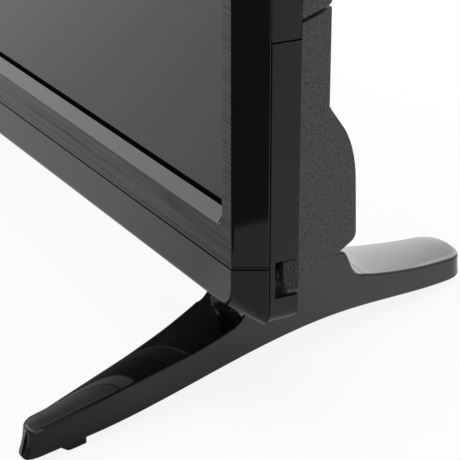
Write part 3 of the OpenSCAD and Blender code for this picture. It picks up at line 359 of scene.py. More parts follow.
def plain_plastic(name, low, high, rough_low, rough_high, grit, ior=1.5):
    """Moulded plastic or rubber with a fine grit that varies its shade and its sheen."""
    material, tree, place = blank(name)
    speck = add(tree, NOISE, {"Vector": place, "Scale": per_mm(grit), "Detail": 4.0})
    shade = add(tree, RAMP, {"Fac": speck.outputs["Fac"]},
                ((0.3, linear(low)), (0.7, linear(high))))
    rough = add(tree, RAMP, {"Fac": speck.outputs["Fac"]},
                ((0.3, grey(rough_low)), (0.7, grey(rough_high))))
    bump = add(tree, BUMP, {
        "Height": speck.outputs["Fac"], "Strength": 0.15, "Distance": 0.1 * MM})
    shader = add(tree, SHADER, {
        "Base Color": shade.outputs["Color"], "Roughness": rough.outputs["Color"],
        "Normal": bump.outputs["Normal"], "IOR": ior})
    add(tree, OUTPUT, {"Surface": shader.outputs["BSDF"]})
    return material


def plated_metal(name, low, high, rough_low, rough_high, spangle):
    """Plated steel: a bright metal whose spangle shifts the shade from patch to patch."""
    material, tree, place = blank(name)
    patch = add(tree, CELLS, {"Vector": place, "Scale": per_mm(spangle)})
    shade = add(tree, RAMP, {"Fac": patch.outputs["Distance"]},
                ((0.1, linear(low)), (0.7, linear(high))))
    rough = add(tree, RAMP, {"Fac": patch.outputs["Distance"]},
                ((0.1, grey(rough_low)), (0.7, grey(rough_high))))
    shader = add(tree, SHADER, {
        "Base Color": shade.outputs["Color"], "Roughness": rough.outputs["Color"],
        "Metallic": 1.0})
    add(tree, OUTPUT, {"Surface": shader.outputs["BSDF"]})
    return material


gloss = gloss_black_abs()
brushed = brushed_black_film()
satin = satin_black_abs()
grained = grained_grey_hips()
screen = screen_film()
# Black printed ink round the picture, made nearly lightless so that it is also painted shade of the
# gap between bezel and glass
border_ink_and_gap_shade = plain_plastic("black_border_ink_painted_gap_shade", "#030303", "#060606", 0.9, 1.0, 2.0, 1.12)
# Moulded rubber, matt and a little dusty
rubber = plain_plastic("black_rubber_moulded_matt", "#101011", "#1a1a1b", 0.75, 0.9, 0.6)
# Satin ABS of the keys, with a soft highlight on each cap
key_abs = plain_plastic("black_abs_satin_key", "#1a1a1b", "#222223", 0.32, 0.42, 0.5)
# Pale grey on the snap hooks' round ends, a painted highlight for the light spot in the rim's notch
pale_hook_painted_highlight = plain_plastic("grey_pom_clip_painted_highlight", "#7d7d7a", "#8b8b88", 0.4, 0.5, 1.2)
# Moulded PBT, dull black
black_pbt = plain_plastic("black_pbt_moulded", "#141415", "#1e1e1f", 0.45, 0.6, 0.6)
# Matt PET sheet, an even white
white_sheet = plain_plastic("white_pet_sheet_matt", "#e8e8e4", "#f2f2ee", 0.5, 0.65, 3.0)
# Moulded acrylic, pale with sharp highlights
clear_lens = plain_plastic("clear_acrylic_moulded", "#dfe6ea", "#eef3f5", 0.08, 0.14, 4.0, 1.49)
# Tinted polycarbonate, nearly black with a trace of red
receiver = plain_plastic(
    "dark_red_polycarbonate_tinted", "#14070a", "#1c090d", 0.08, 0.14, 3.0, 1.58)
# Solder resist over copper, a glossy green
board_green = plain_plastic("solder_resist_green_gloss", "#0f4a2a", "#166238", 0.25, 0.4, 1.4)
# Polyimide film, a smooth amber
polyimide = plain_plastic("amber_polyimide_film", "#a8701f", "#c18a35", 0.2, 0.35, 2.0, 1.7)
# Zinc on sheet steel, a grey spangle
zinc = plated_metal("steel_zinc_plated", "#9a9ca0", "#bfc1c4", 0.28, 0.42, 6.0)
# Tin on sheet steel, paler and brighter
tinned = plated_metal("steel_tin_plated", "#b4b5b7", "#d2d3d4", 0.2, 0.34, 3.0)
# Black zinc on screws, a dark metal glint
screw_zinc = plated_metal("screw_steel_black_zinc", "#3c3c3f", "#58585b", 0.3, 0.45, 0.8)

SLOT_FINISH = {
    "piano_black": gloss, "satin_black": satin, "grained_grey": grained,
    "screen_glass": screen, "ir_plastic": receiver, "white_optic": white_sheet,
    "lens_clear": clear_lens, "zinc_steel": zinc, "circuit_board": board_green,
    "amber_film": polyimide, "tinned_metal": tinned, "black_plastic": black_pbt,
    "pad_rubber": rubber, "screw_steel": screw_zinc, "key_plastic": key_abs}

for part in frame["record"]["subparts"]:
    for holder in nodes[part["node"]].material_slots:
        holder.material = SLOT_FINISH[part["material_slot"]]


# Modelling by hand

def to_object_mode():
    if bpy.context.mode != "OBJECT":
        bpy.ops.object.mode_set(mode="OBJECT")


def select_none():
    """Leaves edit mode and clears the selection, as before each new primitive."""
    to_object_mode()
    bpy.ops.object.select_all(action="DESELECT")


def only(obj):
    """Selects one object alone and makes it active."""
    select_none()
    obj.select_set(True)
    bpy.context.view_layer.objects.active = obj


def edit(obj):
    only(obj)
    bpy.ops.object.mode_set(mode="EDIT")
    bpy.context.tool_settings.mesh_select_mode = (True, True, True)
    bpy.ops.mesh.select_all(action="DESELECT")


def edit_all(obj):
    edit(obj)
    bpy.ops.mesh.select_all(action="SELECT")


def pick(obj, kind, test):
    """Selects the verts, edges or faces that pass a test, by their place or normal."""
    mesh = bmesh.from_edit_mesh(obj.data)
    bpy.ops.mesh.select_all(action="DESELECT")
    bpy.context.tool_settings.mesh_select_mode = (
        kind == "verts", kind == "edges", kind == "faces")
    for part in getattr(mesh, kind):
        if test(part):
            part.select_set(True)
    mesh.select_flush_mode()
    bmesh.update_edit_mesh(obj.data)


def middle(edge):
    return (edge.verts[0].co + edge.verts[1].co) / 2


def settle():
    """Puts the new object's place, turn and scale into its mesh."""
    bpy.ops.object.transform_apply(location=True, rotation=True, scale=True)
    return bpy.context.object


def block(name, low, high):
    """A cube drawn from its low corner to its high corner."""
    select_none()
    low, high = Vector(low), Vector(high)
    bpy.ops.mesh.primitive_cube_add(size=1, location=(low + high) / 2, scale=high - low)
    obj = settle()
    obj.name = name
    return obj


def apply_all(obj):
    only(obj)
    for modifier in list(obj.modifiers):
        bpy.ops.object.modifier_apply(modifier=modifier.name)


def round_edges(obj, width, segments=2, angle=30):
    """Rounds every edge sharper than the angle."""
    bevel = obj.modifiers.new("rounding", "BEVEL")
    bevel.width = width
    bevel.segments = segments
    bevel.limit_method = "ANGLE"
    bevel.angle_limit = math.radians(angle)
    bevel.miter_outer = "MITER_ARC"
    apply_all(obj)


def round_picked(obj, width, segments, test):
    """Rounds the edges that pass the test."""
    edit(obj)
    pick(obj, "edges", test)
    bpy.ops.mesh.bevel(offset_type="OFFSET", offset=width, segments=segments, profile=0.5)
    to_object_mode()


def combine(obj, other, operation):
    """Cuts another closed shape out of this one, or welds it on; the other is then deleted."""
    boolean = obj.modifiers.new("combine", "BOOLEAN")
    boolean.operation = operation
    boolean.solver = "EXACT"
    boolean.object = other
    apply_all(obj)
    bpy.data.objects.remove(other)


def cut_away(obj, cutter):
    combine(obj, cutter, "DIFFERENCE")


def weld(obj, other):
    combine(obj, other, "UNION")


def join(obj, others):
    """Makes the other pieces part of this one, each still a shape of its own."""
    only(obj)
    for other in others:
        other.select_set(True)
    bpy.ops.object.join()


def outward(obj):
    edit_all(obj)
    bpy.ops.mesh.remove_doubles(threshold=MERGE)
    bpy.ops.mesh.normals_make_consistent(inside=False)
    to_object_mode()


def finish_piece(obj, finish, body, replaced, smooth=32):
    """Shades the piece, gives it its material and seats it in the frame."""
    only(obj)
    bpy.ops.object.shade_smooth_by_angle(angle=math.radians(smooth))
    even = obj.modifiers.new("even_shading", "WEIGHTED_NORMAL")
    even.keep_sharp = True
    apply_all(obj)
    obj.data.materials.clear()
    obj.data.materials.append(finish)
    obj.data.name = obj.name
    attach(obj, body)
    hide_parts(*replaced)


def copy_of(obj, name):
    only(obj)
    bpy.ops.object.duplicate(linked=False)
    made = bpy.context.object
    made.name = name
    made.data.name = name
    return made


def moved_copy(obj, name, step):
    """A copy whose mesh is moved by a step."""
    made = copy_of(obj, name)
    edit_all(made)
    bpy.ops.transform.translate(value=step)
    to_object_mode()
    return made


def mirrored(obj, name):
    """A copy of the piece on the other side of the set."""
    made = copy_of(obj, name)
    edit_all(made)
    bpy.ops.transform.resize(value=(-1, 1, 1), center_override=(0, 0, 0))
    bpy.ops.mesh.normals_make_consistent(inside=False)
    to_object_mode()
    return made


def pick_groups(*groups):
    """Selects the points of the named vertex groups."""
    bpy.ops.mesh.select_all(action="DESELECT")
    bpy.context.tool_settings.mesh_select_mode = (True, False, False)
    for group in groups:
        bpy.ops.object.vertex_group_set_active(group=group)
        bpy.ops.object.vertex_group_select()


def ring_frame(name, rings):
    """A closed frame bridged through rounded outlines; each ring is (y, half width, low, top,
    radius). The outlines are drawn well apart and pushed to their depths at the end."""
    apart = 20 * MM
    mesh = bpy.data.meshes.new(name)
    obj = bpy.data.objects.new(name, mesh)
    bpy.context.scene.collection.objects.link(obj)
    edit(obj)
    for count, (_, half, low, top, radius) in enumerate(rings):
        spot = (0, count * apart, (low + top) / 2)
        bpy.ops.mesh.primitive_plane_add(size=1, location=spot, rotation=(math.pi / 2, 0, 0))
        bpy.ops.transform.resize(value=(2 * half, 1, top - low), center_override=spot)
        bpy.ops.mesh.bevel(affect="VERTICES", offset_type="ABSOLUTE", offset=radius,
                           segments=corner_steps)
        bpy.ops.mesh.select_linked()
        bpy.ops.object.vertex_group_assign_new()
        bpy.ops.mesh.delete(type="ONLY_FACE")
    names = [group.name for group in obj.vertex_groups]
    for near, far in zip(names, names[1:] + names[:1]):
        pick_groups(near, far)
        bpy.ops.mesh.bridge_edge_loops()
    for count, (group, ring) in enumerate(zip(names, rings)):
        pick_groups(group)
        bpy.ops.transform.translate(value=(0, ring[0] - count * apart, 0))
    to_object_mode()
    obj.vertex_groups.clear()
    outward(obj)
    return obj


def keep_side(obj, z, above):
    """Cuts the piece level at a height and keeps one side, with the cut closed."""
    edit_all(obj)
    bpy.ops.mesh.bisect(plane_co=(0, 0, z), plane_no=(0, 0, 1), use_fill=True,
                        clear_inner=above, clear_outer=not above)
    to_object_mode()


def paint_faces(obj, finish, test):
    """Gives the faces that pass the test a second material."""
    obj.data.materials.append(finish)
    index = len(obj.data.materials) - 1
    for face in obj.data.polygons:
        if test(face):
            face.material_index = index


# Bezel and lower strip

def bezel_rings():
    sunk = glass_y - foam - face_y
    share = sunk / (glass_y - face_y)
    lip_y = face_y + sunk
    back_y = face_y + wall
    slant = slant_share * wall
    return [
        (bezel_y, out_hw, out_low, out_top, rear_r),
        (face_y, face_hw, face_low, face_top, face_r),
        (face_y, window_hw, window_low, window_top, window_r),
        (lip_y, window_hw - window_lip * share, window_low + window_lip_low * share,
         window_top - window_lip * share, window_r - share * lip_r_less),
        (lip_y, window_hw + lip_rim, window_low - lip_rim, window_top + lip_rim, window_r),
        (back_y, window_hw + lip_rim, window_low - lip_rim, window_top + lip_rim, window_r),
        (back_y, face_hw - slant, face_low + slant, face_top - slant,
         face_r - round_share * wall),
        (bezel_y, out_hw - wall, out_low + wall, out_top - wall, rear_r - round_share * wall),
    ]


def on_ring(edge, y, inner):
    """Whether an edge lies at a depth, and inside or outside the window's outline."""
    near = 0.1 * MM
    for vert in edge.verts:
        x, z = abs(vert.co.x), vert.co.z
        inside = x < window_hw + near and window_low - near < z < window_top + near
        if abs(vert.co.y - y) > TOUCH or inside != inner:
            return False
    return True


def on_outline(edge):
    """Whether an edge lies on the bezel's rear outline."""
    near = wall / 2
    return all(max(abs(v.co.x) - out_hw, out_low - v.co.z, v.co.z - out_top) > -near
               and v.co.y > bezel_y - TOUCH for v in edge.verts)


def make_bezel():
    bezel = ring_frame("bezel", bezel_rings())
    tongue = copy_of(bezel, "seam_tongue")
    round_picked(bezel, face_edge, 5, lambda e: on_ring(e, face_y, False))
    round_picked(bezel, fine_edge, 3, lambda e: on_ring(e, face_y, True))
    bead = copy_of(bezel, "seam_bead")
    round_picked(bezel, fine_edge, 3, on_outline)
    strip = copy_of(bezel, "lower_strip")
    keep_side(bezel, seam_top, True)
    keep_side(strip, seam_low, False)
    keep_side(bead, seam_low, True)
    keep_side(bead, seam_top, False)
    edit_all(bead)
    bpy.ops.transform.shrink_fatten(value=-bead_in, use_even_offset=True)
    to_object_mode()
    # The tongue that closes the groove, drawn down from its top into the strip's wall
    keep_side(tongue, seam_low, True)
    keep_side(tongue, seam_top - tongue_gap, False)
    edit(tongue)
    pick(tongue, "faces", lambda f: f.normal.z > 0.99)
    bpy.ops.mesh.inset(thickness=groove_deep, depth=0)
    bpy.ops.mesh.select_all(action="INVERT")
    bpy.ops.mesh.delete(type="FACE")
    bpy.ops.mesh.select_all(action="SELECT")
    bpy.ops.mesh.extrude_region_move(
        TRANSFORM_OT_translate={"value": (0, 0, tongue_gap - seam_h - tongue_foot)})
    to_object_mode()
    outward(tongue)
    # The slot of the remote receiver
    slot_low, slot_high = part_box("ir_window")
    slot_half = (slot_high.x - slot_low.x) / 2 - slot_wing + slot_room
    slot_top = slot_high.z + slot_lip + slot_room
    slot_bottom = slot_low.z + slot_wing - slot_room
    cut_away(strip, block("slot_cutter", (-slot_half, face_y - MM, slot_bottom),
                          (slot_half, face_y + wall + MM, slot_top)))
    round_edges(bezel, seam_edge, 2, 50)
    round_edges(bead, bead_edge, 2, 50)
    join(strip, [bead, tongue])
    finish_piece(bezel, gloss, "cabinet", ["front_bezel"])
    finish_piece(strip, gloss, "cabinet", ["bottom_trim"])
    paint_faces(bezel, brushed,
                lambda f: f.normal.y < -0.99 and abs(f.center.y - face_y) < 5 * TOUCH)


make_bezel()


# Picture glass with its black printed border, darkened as painted gap shade

def make_picture():
    glass = block("picture_glass", (glass_low.x, glass_y + picture_step, glass_low.z), glass_high)
    edit(glass)
    pick(glass, "faces", lambda f: f.normal.y < -0.99)
    bpy.ops.mesh.inset(thickness=picture_in, depth=0)
    bpy.ops.mesh.extrude_region_move(TRANSFORM_OT_translate={"value": (0, -picture_step, 0)})
    to_object_mode()
    round_edges(glass, picture_edge)
    # The border is black print that also stands as painted shade of the gap at the picture's edge
    finish_piece(glass, border_ink_and_gap_shade, "cabinet", ["lcd_cell"])
    paint_faces(glass, screen, lambda f: f.normal.y < -0.99 and f.area > picture_area)


make_picture()


# Satin rim in two lengths

def rim_rings(half, low, top):
    sunk = (half - rim_groove, low + rim_groove, top - rim_groove, rim_r - rim_groove)
    full = (half, low, top, rim_r)
    inside = (half - rim_wall, low + rim_wall, top - rim_wall, rim_r - round_share * rim_wall)
    return [(bezel_y, *sunk), (bezel_y + rim_gap, *sunk), (bezel_y + rim_gap, *full),
            (rim_y, *full), (rim_y, *inside), (bezel_y, *inside)]


def span_at(side, inner, outer):
    """Two places across one side of the set, the lower one first."""
    return sorted((side * inner, side * outer))


def make_rim():
    step = rim_high.x - rim_up_high.x
    upper = ring_frame("rim_upper", rim_rings(
        rim_up_high.x, rim_low.z + step, rim_up_high.z))
    keep_side(upper, rim_up_low.z, True)
    round_edges(upper, rim_edge, 2, 40)
    finish_piece(upper, satin, "cabinet", ["frame_upper"])
    bottom = rim_low.z - rim_hang
    lower = ring_frame("rim_lower", rim_rings(
        rim_high.x, bottom, rim_up_high.z + step))
    keep_side(lower, rim_high.z, False)
    notch_x = rim_high.x - notch_in
    notch_y = rim_y - notch_deep
    hook_at = Vector((notch_x, notch_y + hook_y, notch_top - hook_down))
    for side in (-1, 1):
        near, far = span_at(side, notch_x, rim_high.x + MM)
        cutter = block("notch_cutter", (near, notch_y, notch_low), (far, rim_y + MM, notch_top))
        edit(cutter)
        pick(cutter, "edges", lambda e: abs(middle(e).y - rim_y + notch_deep) < TOUCH
             and abs(e.verts[0].co.x - e.verts[1].co.x) > MM)
        bpy.ops.mesh.bevel(offset=notch_r, segments=4)
        to_object_mode()
        cut_away(lower, cutter)
        # The notch's blind inner wall, with the round end of a snap hook on it
        near, far = span_at(side, notch_x - notch_wall_t, notch_x)
        weld(lower, block("notch_wall", (near, bezel_y + notch_wall_over, bottom + MM),
                          (far, rim_y - MM, notch_top + notch_wall_over)))
        select_none()
        spot = Vector((side * hook_at.x, hook_at.y, hook_at.z))
        bpy.ops.mesh.primitive_uv_sphere_add(segments=24, ring_count=12, radius=hook_r,
                                             location=spot)
        hook = settle()
        edit_all(hook)
        bpy.ops.transform.resize(value=hook_stretch, center_override=spot)
        to_object_mode()
        weld(lower, hook)
    inner = rim_high.x - lip_wall_in
    weld(lower, block("lip_wall", (-inner, rim_y - lip_wall_t, bottom + MM),
                      (inner, rim_y, rim_low.z + lip_wall_h)))
    # The lip's rear end turns down in a long round
    corner_cut = block("corner_cut", (-out_hw, rim_y - lip_end[0], bottom - MM),
                       (out_hw, rim_y + MM, bottom + lip_end[1]))
    select_none()
    bpy.ops.mesh.primitive_cylinder_add(
        vertices=64, radius=1, depth=2.2 * out_hw, rotation=(0, math.pi / 2, 0),
        location=(0, rim_y - lip_end[0], bottom + lip_end[1]))
    bpy.ops.object.transform_apply(location=False, rotation=True, scale=True)
    bpy.ops.transform.resize(value=(1, lip_end[0], lip_end[1]))
    cut_away(corner_cut, settle())
    cut_away(lower, corner_cut)
    round_picked(lower, notch_edge, 3, lambda e: e.is_manifold
                 and e.calc_face_angle() > math.radians(40)
                 and (e.calc_length() > long_edge
                      or all(abs(abs(v.co.x) - rim_high.x) < TOUCH for v in e.verts)))
    finish_piece(lower, satin, "cabinet", ["frame_lower"])
    # The hook's round end takes pale grey, a painted highlight
    paint_faces(lower, pale_hook_painted_highlight, lambda f: abs(f.center.x) > hook_at.x + highlight_proud
                and (Vector((abs(f.center.x), f.center.y, f.center.z)) - hook_at).length
                < highlight_reach)


make_rim()


# Rear cover mouldings: the CAD shell merged and given soft moulded edges

def moulded(node, name):
    made = copy_of(nodes[node], name)
    made.parent = None
    edit_all(made)
    bpy.ops.mesh.remove_doubles(threshold=MERGE)
    # The front tabs stand flush with the edge of the cover's slanted sides
    for side in (-1, 1):
        pick(made, "verts", lambda v: v.co.y < rim_y + TOUCH
             and abs(v.co.x * side - tab_x) < 10 * TOUCH)
        bpy.ops.transform.translate(value=(side * tab_out, 0, 0))
    bpy.ops.mesh.select_all(action="SELECT")
    bpy.ops.mesh.remove_doubles(threshold=sliver)
    # Each slanted side becomes one face
    pick(made, "faces", lambda f: abs(f.normal.x) > side_slant
         and abs(f.calc_center_median().x) > bulge_end)
    bpy.ops.mesh.dissolve_limited(angle_limit=math.radians(0.3))
    # At both ends the low bulge's rear is drawn in a little and its foot is raised
    for side in (-1, 1):
        pick(made, "verts", lambda v: v.co.x * side > bulge_end and v.co.y > bulge_y)
        bpy.ops.transform.translate(value=(side * cover_taper * bulge_in, -bulge_in, 0))
    pick(made, "verts", lambda v: abs(v.co.x) > bulge_end and v.co.y > bulge_y
         and v.co.z < bulge_low)
    bpy.ops.transform.translate(value=(0, 0, bulge_up))
    to_object_mode()
    # The mouths of the screw bores stay crisp
    round_picked(made, cover_edge, 2, lambda e: e.is_manifold
                 and e.calc_face_angle() > math.radians(35)
                 and (e.calc_length() > small_edge or abs(middle(e).x) > side_in))
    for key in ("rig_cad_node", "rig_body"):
        if key in made:
            del made[key]
    finish_piece(made, grained, "cabinet", [node], 28)


moulded("rear_cover_upper", "rear_shell_upper")
moulded("rear_cover_lower", "rear_shell_lower")


# Cover screws

def make_cover_screws():
    """One pan head screw with a cross recess, drawn at the first CAD screw and copied to the
    others."""
    drawn = copy_of(nodes["cover_screws"], "screw_places")
    drawn.parent = None
    edit_all(drawn)
    bpy.ops.mesh.remove_doubles(threshold=MERGE)
    bpy.ops.mesh.separate(type="LOOSE")
    to_object_mode()
    places = []
    for each in list(bpy.context.selected_objects):
        corners = [each.matrix_world @ Vector(c) for c in each.bound_box]
        low = Vector([min(c[i] for c in corners) for i in range(3)])
        high = Vector([max(c[i] for c in corners) for i in range(3)])
        places.append(Vector(((low.x + high.x) / 2, high.y, (low.z + high.z) / 2)))
        tail, head_r = low.y, (high.x - low.x) / 2
        bpy.data.objects.remove(each)
    first = places[0]
    select_none()
    bpy.ops.mesh.primitive_cylinder_add(
        vertices=48, radius=head_r, depth=head_t, rotation=(math.pi / 2, 0, 0),
        location=first - Vector((0, head_t / 2, 0)))
    screw = settle()
    screw.name = "cover_screw_set"
    edit(screw)
    pick(screw, "faces", lambda f: f.normal.y < -0.99)
    bpy.ops.mesh.inset(thickness=head_r - shank_r, depth=0)
    bpy.ops.mesh.extrude_region_move(
        TRANSFORM_OT_translate={"value": (0, tail - first.y + head_t, 0)})
    to_object_mode()
    round_picked(screw, head_edge, 5, lambda e: all(v.co.y > first.y - TOUCH for v in e.verts))
    for width, height in ((cross_long, cross_wide), (cross_wide, cross_long)):
        half = Vector((width / 2, cross_deep, height / 2))
        cut_away(screw, block("cross_cutter", first - half, first + half))
    join(screw, [moved_copy(screw, "cover_screw_copy", place - first) for place in places[1:]])
    finish_piece(screw, screw_zinc, "cabinet", ["cover_screws"])


make_cover_screws()


# Boomerang feet, drawn along u, across v and up z in millimetres

foot_turn = math.radians(14.5)
foot_len = 204.8
foot_over = 2.8
foot_reach = 336 * MM
foot_y = 2 * MM - foot_len * MM * math.cos(foot_turn) / 2
hump_u = (82, 148)
hump_top = 32.3
hump_rise = (15, 1.35)
hump_fall_u = 140.4
hump_fall = (0.65, 0.15)
saddle_z = 19.5
front_tip_z = 11.6
front_slope = 0.075
front_curve = (60, 0.0035)
rear_tip_z = 11.0
rear_curve = (8.55, 1.75)
front_wide = (10.4, 0.17, 8)
shoulder = (2, 40, 42)
hump_wide = (25, 2.6, 50)
rear_wide = (27.6, 4.8)
tip_drop = 0.6
front_round = (5, 2.6)
rear_round = (8, 7.5)
front_round_in = (6, 4.5)
rear_round_in = (10, 7)
arch_u = (24, 120, 199)
arch_h = 6.4
arch_power = 1.7
pad_t = 2.4
crease_r = 0.9
low_r = 0.8
low_steps = 4
crease_steps = 6
wall_steps = 6
top_steps = 10
kick = (2.4, 1.0, 9)
crown = (0.9, 0.8)
crown_u = (60, 25)
rear_bank = (0.5, 150, 50)
stem_low = (-19 * MM, 88 * MM, 16 * MM)
stem_high = (-3 * MM, 112 * MM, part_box("rear_cover_lower")[0].z)
stem_r = 4 * MM
stem_from = 33.6 * MM
bolt_u = (94, 106)
bolt_v = 11
bolt_head = 3 * MM
well_r = 4.6 * MM
front_pad = ((-8.2 * MM, 7 * MM, 0), (-0.6 * MM, 19.5 * MM, 3.6 * MM))
rear_pad = ((-16.5 * MM, 186.8 * MM, 0), (-9.5 * MM, 196.8 * MM, 6.4 * MM))
pad_slant = 5 * MM
pad_corner = 0.8 * MM
pad_edge = 0.5 * MM


def ease(t):
    t = min(1, max(0, t))
    return t * t * (3 - 2 * t)


def round_end(length, radius):
    """Share of the full width, a quarter circle in from an end."""
    near = min(1, max(0, length / radius))
    return math.sqrt(1 - (1 - near) ** 2)


def toe_line(u):
    """Height of the toes' creases as if there were no hump."""
    if u < hump_u[0]:
        return (front_tip_z + front_slope * max(0, u)
                + front_curve[1] * max(0, u - front_curve[0]) ** 2)
    if u > hump_u[1]:
        left = max(0, foot_len - u) / (foot_len - hump_u[1])
        return rear_tip_z + rear_curve[0] * left ** rear_curve[1]
    return saddle_z


def foot_section(u):
    """Outer and inner place across the foot, and its low and top height, at a station along it."""
    to_tip = u + foot_over
    to_end = foot_len - u
    past = u - hump_fall_u
    fall = 1 + math.exp(past * (hump_fall[0] - hump_fall[1] * math.tanh(past / 2)))
    swell = ease((u - hump_u[0]) / hump_rise[0]) ** hump_rise[1] / fall
    blunt = 2 - round_end(to_tip, front_round[0]) - round_end(to_end, rear_round[0])
    top = toe_line(u) + (hump_top - toe_line(u)) * swell - tip_drop * blunt
    wide = rear_wide[0] - rear_wide[1] * (u - hump_u[1]) / (foot_len - hump_u[1])
    if u < hump_u[0]:
        wide = (front_wide[0] + front_wide[1] * max(0, u - front_wide[2])
                + shoulder[0] * ease((u - shoulder[1]) / shoulder[2]))
    elif u < hump_u[1]:
        wide = hump_wide[0] + hump_wide[1] * ease((u - hump_u[0]) / hump_wide[2])
    outer = (front_round[1] * (1 - round_end(to_tip, front_round[0]))
             + rear_round[1] * (1 - round_end(to_end, rear_round[0])))
    inner = (wide - front_round_in[1] * (1 - round_end(to_tip, front_round_in[0]))
             - rear_round_in[1] * (1 - round_end(to_end, rear_round_in[0])))
    low = pad_t
    if arch_u[0] < u < arch_u[2]:
        front = 0.5 * (u - arch_u[0]) / (arch_u[1] - arch_u[0])
        rear = 0.5 + 0.5 * (u - arch_u[1]) / (arch_u[2] - arch_u[1])
        low += arch_h * math.sin(math.pi * (front if u < arch_u[1] else rear)) ** arch_power
    return outer, inner, low, top


def quarter(v, z, radius, start, steps):
    """Points of a quarter circle round a centre, clockwise from an angle."""
    turns = [math.radians(start - 90 * step / steps) for step in range(steps + 1)]
    return [(v + radius * math.cos(turn), z + radius * math.sin(turn)) for turn in turns]


def foot_ring(u):
    """Points round the foot at a station: rounded creases, a crowned top, and walls that flare
    out at the tips."""
    outer, inner, low, top = foot_section(u)
    # The last stretch before each tip draws in, so that the tip's own edge is rounded too
    draw_in = crease_r * (1 - round_end(min(u + foot_over, foot_len - u), crease_r))
    outer, inner, low, top = outer + draw_in, inner - draw_in, low + draw_in, top - draw_in
    side = top - crease_r - low - low_r
    flat = quarter(outer + low_r, low + low_r, low_r, 270, low_steps)
    flat += [(outer, low + low_r + side * i / wall_steps) for i in range(1, wall_steps)]
    flat += quarter(outer + crease_r, top - crease_r, crease_r, 180, crease_steps)
    flat += [(outer + crease_r + (inner - outer - 2 * crease_r) * i / top_steps, top)
             for i in range(1, top_steps)]
    flat += quarter(inner - crease_r, top - crease_r, crease_r, 90, crease_steps)
    flat += [(inner, top - crease_r - side * i / wall_steps) for i in range(1, wall_steps)]
    flat += quarter(inner - low_r, low + low_r, low_r, 0, low_steps)
    ring = []
    half = (inner - outer) / 2
    kicked = (kick[0] * max(0, 1 - (u + foot_over) / kick[2])
              - kick[1] * max(0, 1 - (foot_len - u) / kick[2]))
    dome = crown[0] + (crown[1] - crown[0]) * ease((u - crown_u[0]) / crown_u[1])
    bank = rear_bank[0] * math.sin(math.pi * min(1, max(0, (u - rear_bank[1]) / rear_bank[2])))
    for v, z in flat:
        share = (top - z) / (top - low)
        across = (v - outer - half) / half
        along = u + math.tan(foot_turn) * v - kicked * share ** 2
        swelled = dome * (1 - across ** 2) + bank * (1 + across) / 2
        arched = z + swelled * max(0, 1 - 3 * share)
        ring.append((-v * MM, along * MM, arched * MM))
    return ring


def on_foot(obj):
    """Turns and moves a piece drawn along the foot to the right foot's place."""
    only(obj)
    obj.rotation_euler = (0, 0, foot_turn)
    obj.location = (foot_reach, foot_y, 0)
    settle()


def draw_foot():
    # Stations stand closer where the section changes quickly
    ends = [0, 0.05, 0.15, 0.3, 0.5, 0.75, 1.1, 1.6, 2.3, 3.2, 4.4, 6, 8.2]
    stations = [e - foot_over for e in ends] + [8 + 4 * i for i in range(19)]
    stations += [82 + 1.5 * i for i in range(12)] + [102 + 4 * i for i in range(8)]
    stations += [132.5 + i for i in range(18)] + [152 + 3 * i for i in range(15)]
    stations += [foot_len - e for e in reversed(ends)]
    # A sculpted sweep whose section changes all along: its skin is drawn ring by ring
    rings = [foot_ring(u) for u in stations]
    count = len(rings[0])
    points = [point for ring in rings for point in ring]
    faces = [tuple(range(count)), tuple(reversed(range(len(points) - count, len(points))))]
    for start in range(0, len(points) - count, count):
        for i in range(count):
            j = (i + 1) % count
            faces.append((start + i, start + count + i, start + count + j, start + j))
    mesh = bpy.data.meshes.new("foot_right_shell")
    mesh.from_pydata(points, [], faces)
    foot = bpy.data.objects.new("foot_right_shell", mesh)
    bpy.context.scene.collection.objects.link(foot)
    outward(foot)
    stem = block("stem", stem_low, stem_high)
    edit(stem)
    pick(stem, "edges", lambda e: abs(e.verts[0].co.z - e.verts[1].co.z) > MM)
    bpy.ops.mesh.bevel(offset=stem_r, segments=6)
    to_object_mode()
    weld(foot, stem)
    # Two wells from below, where the bolt heads sit
    bolt_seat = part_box("foot_screws")[0].z + bolt_head
    for u in bolt_u:
        select_none()
        bpy.ops.mesh.primitive_cylinder_add(
            vertices=48, radius=well_r, depth=bolt_seat,
            location=(-bolt_v * MM, u * MM, bolt_seat / 2))
        cut_away(foot, settle())
    on_foot(foot)
    outward(foot)
    return foot


def finish_feet(foot):
    other = mirrored(foot, "foot_left_shell")
    finish_piece(foot, gloss, "cabinet", ["foot_right"], 40)
    finish_piece(other, gloss, "cabinet", ["foot_left"], 40)
    # The stems stand dull above the polished hump
    for made in (foot, other):
        paint_faces(made, black_pbt, lambda f: f.center.z > stem_from)


def make_pads():
    pads = block("pads_right", *front_pad)
    join(pads, [block("pad_rear", *rear_pad)])
    # The front pad's leading edge is cut slanting
    edit(pads)
    pick(pads, "verts", lambda v: v.co.z < TOUCH and v.co.y < front_pad[0][1] + 10 * TOUCH)
    bpy.ops.transform.translate(value=(0, pad_slant, 0))
    to_object_mode()
    round_picked(pads, pad_corner, 4, lambda e: abs(e.verts[0].co.z - e.verts[1].co.z) > MM)
    round_picked(pads, pad_edge, 3, lambda e: all(v.co.z < TOUCH for v in e.verts))
    on_foot(pads)
    other = mirrored(pads, "pads_left")
    finish_piece(pads, rubber, "cabinet", ["foot_pads_right"])
    finish_piece(other, rubber, "cabinet", ["foot_pads_left"])


right_foot = draw_foot()
make_pads()
finish_feet(right_foot)


# Push keys on the back

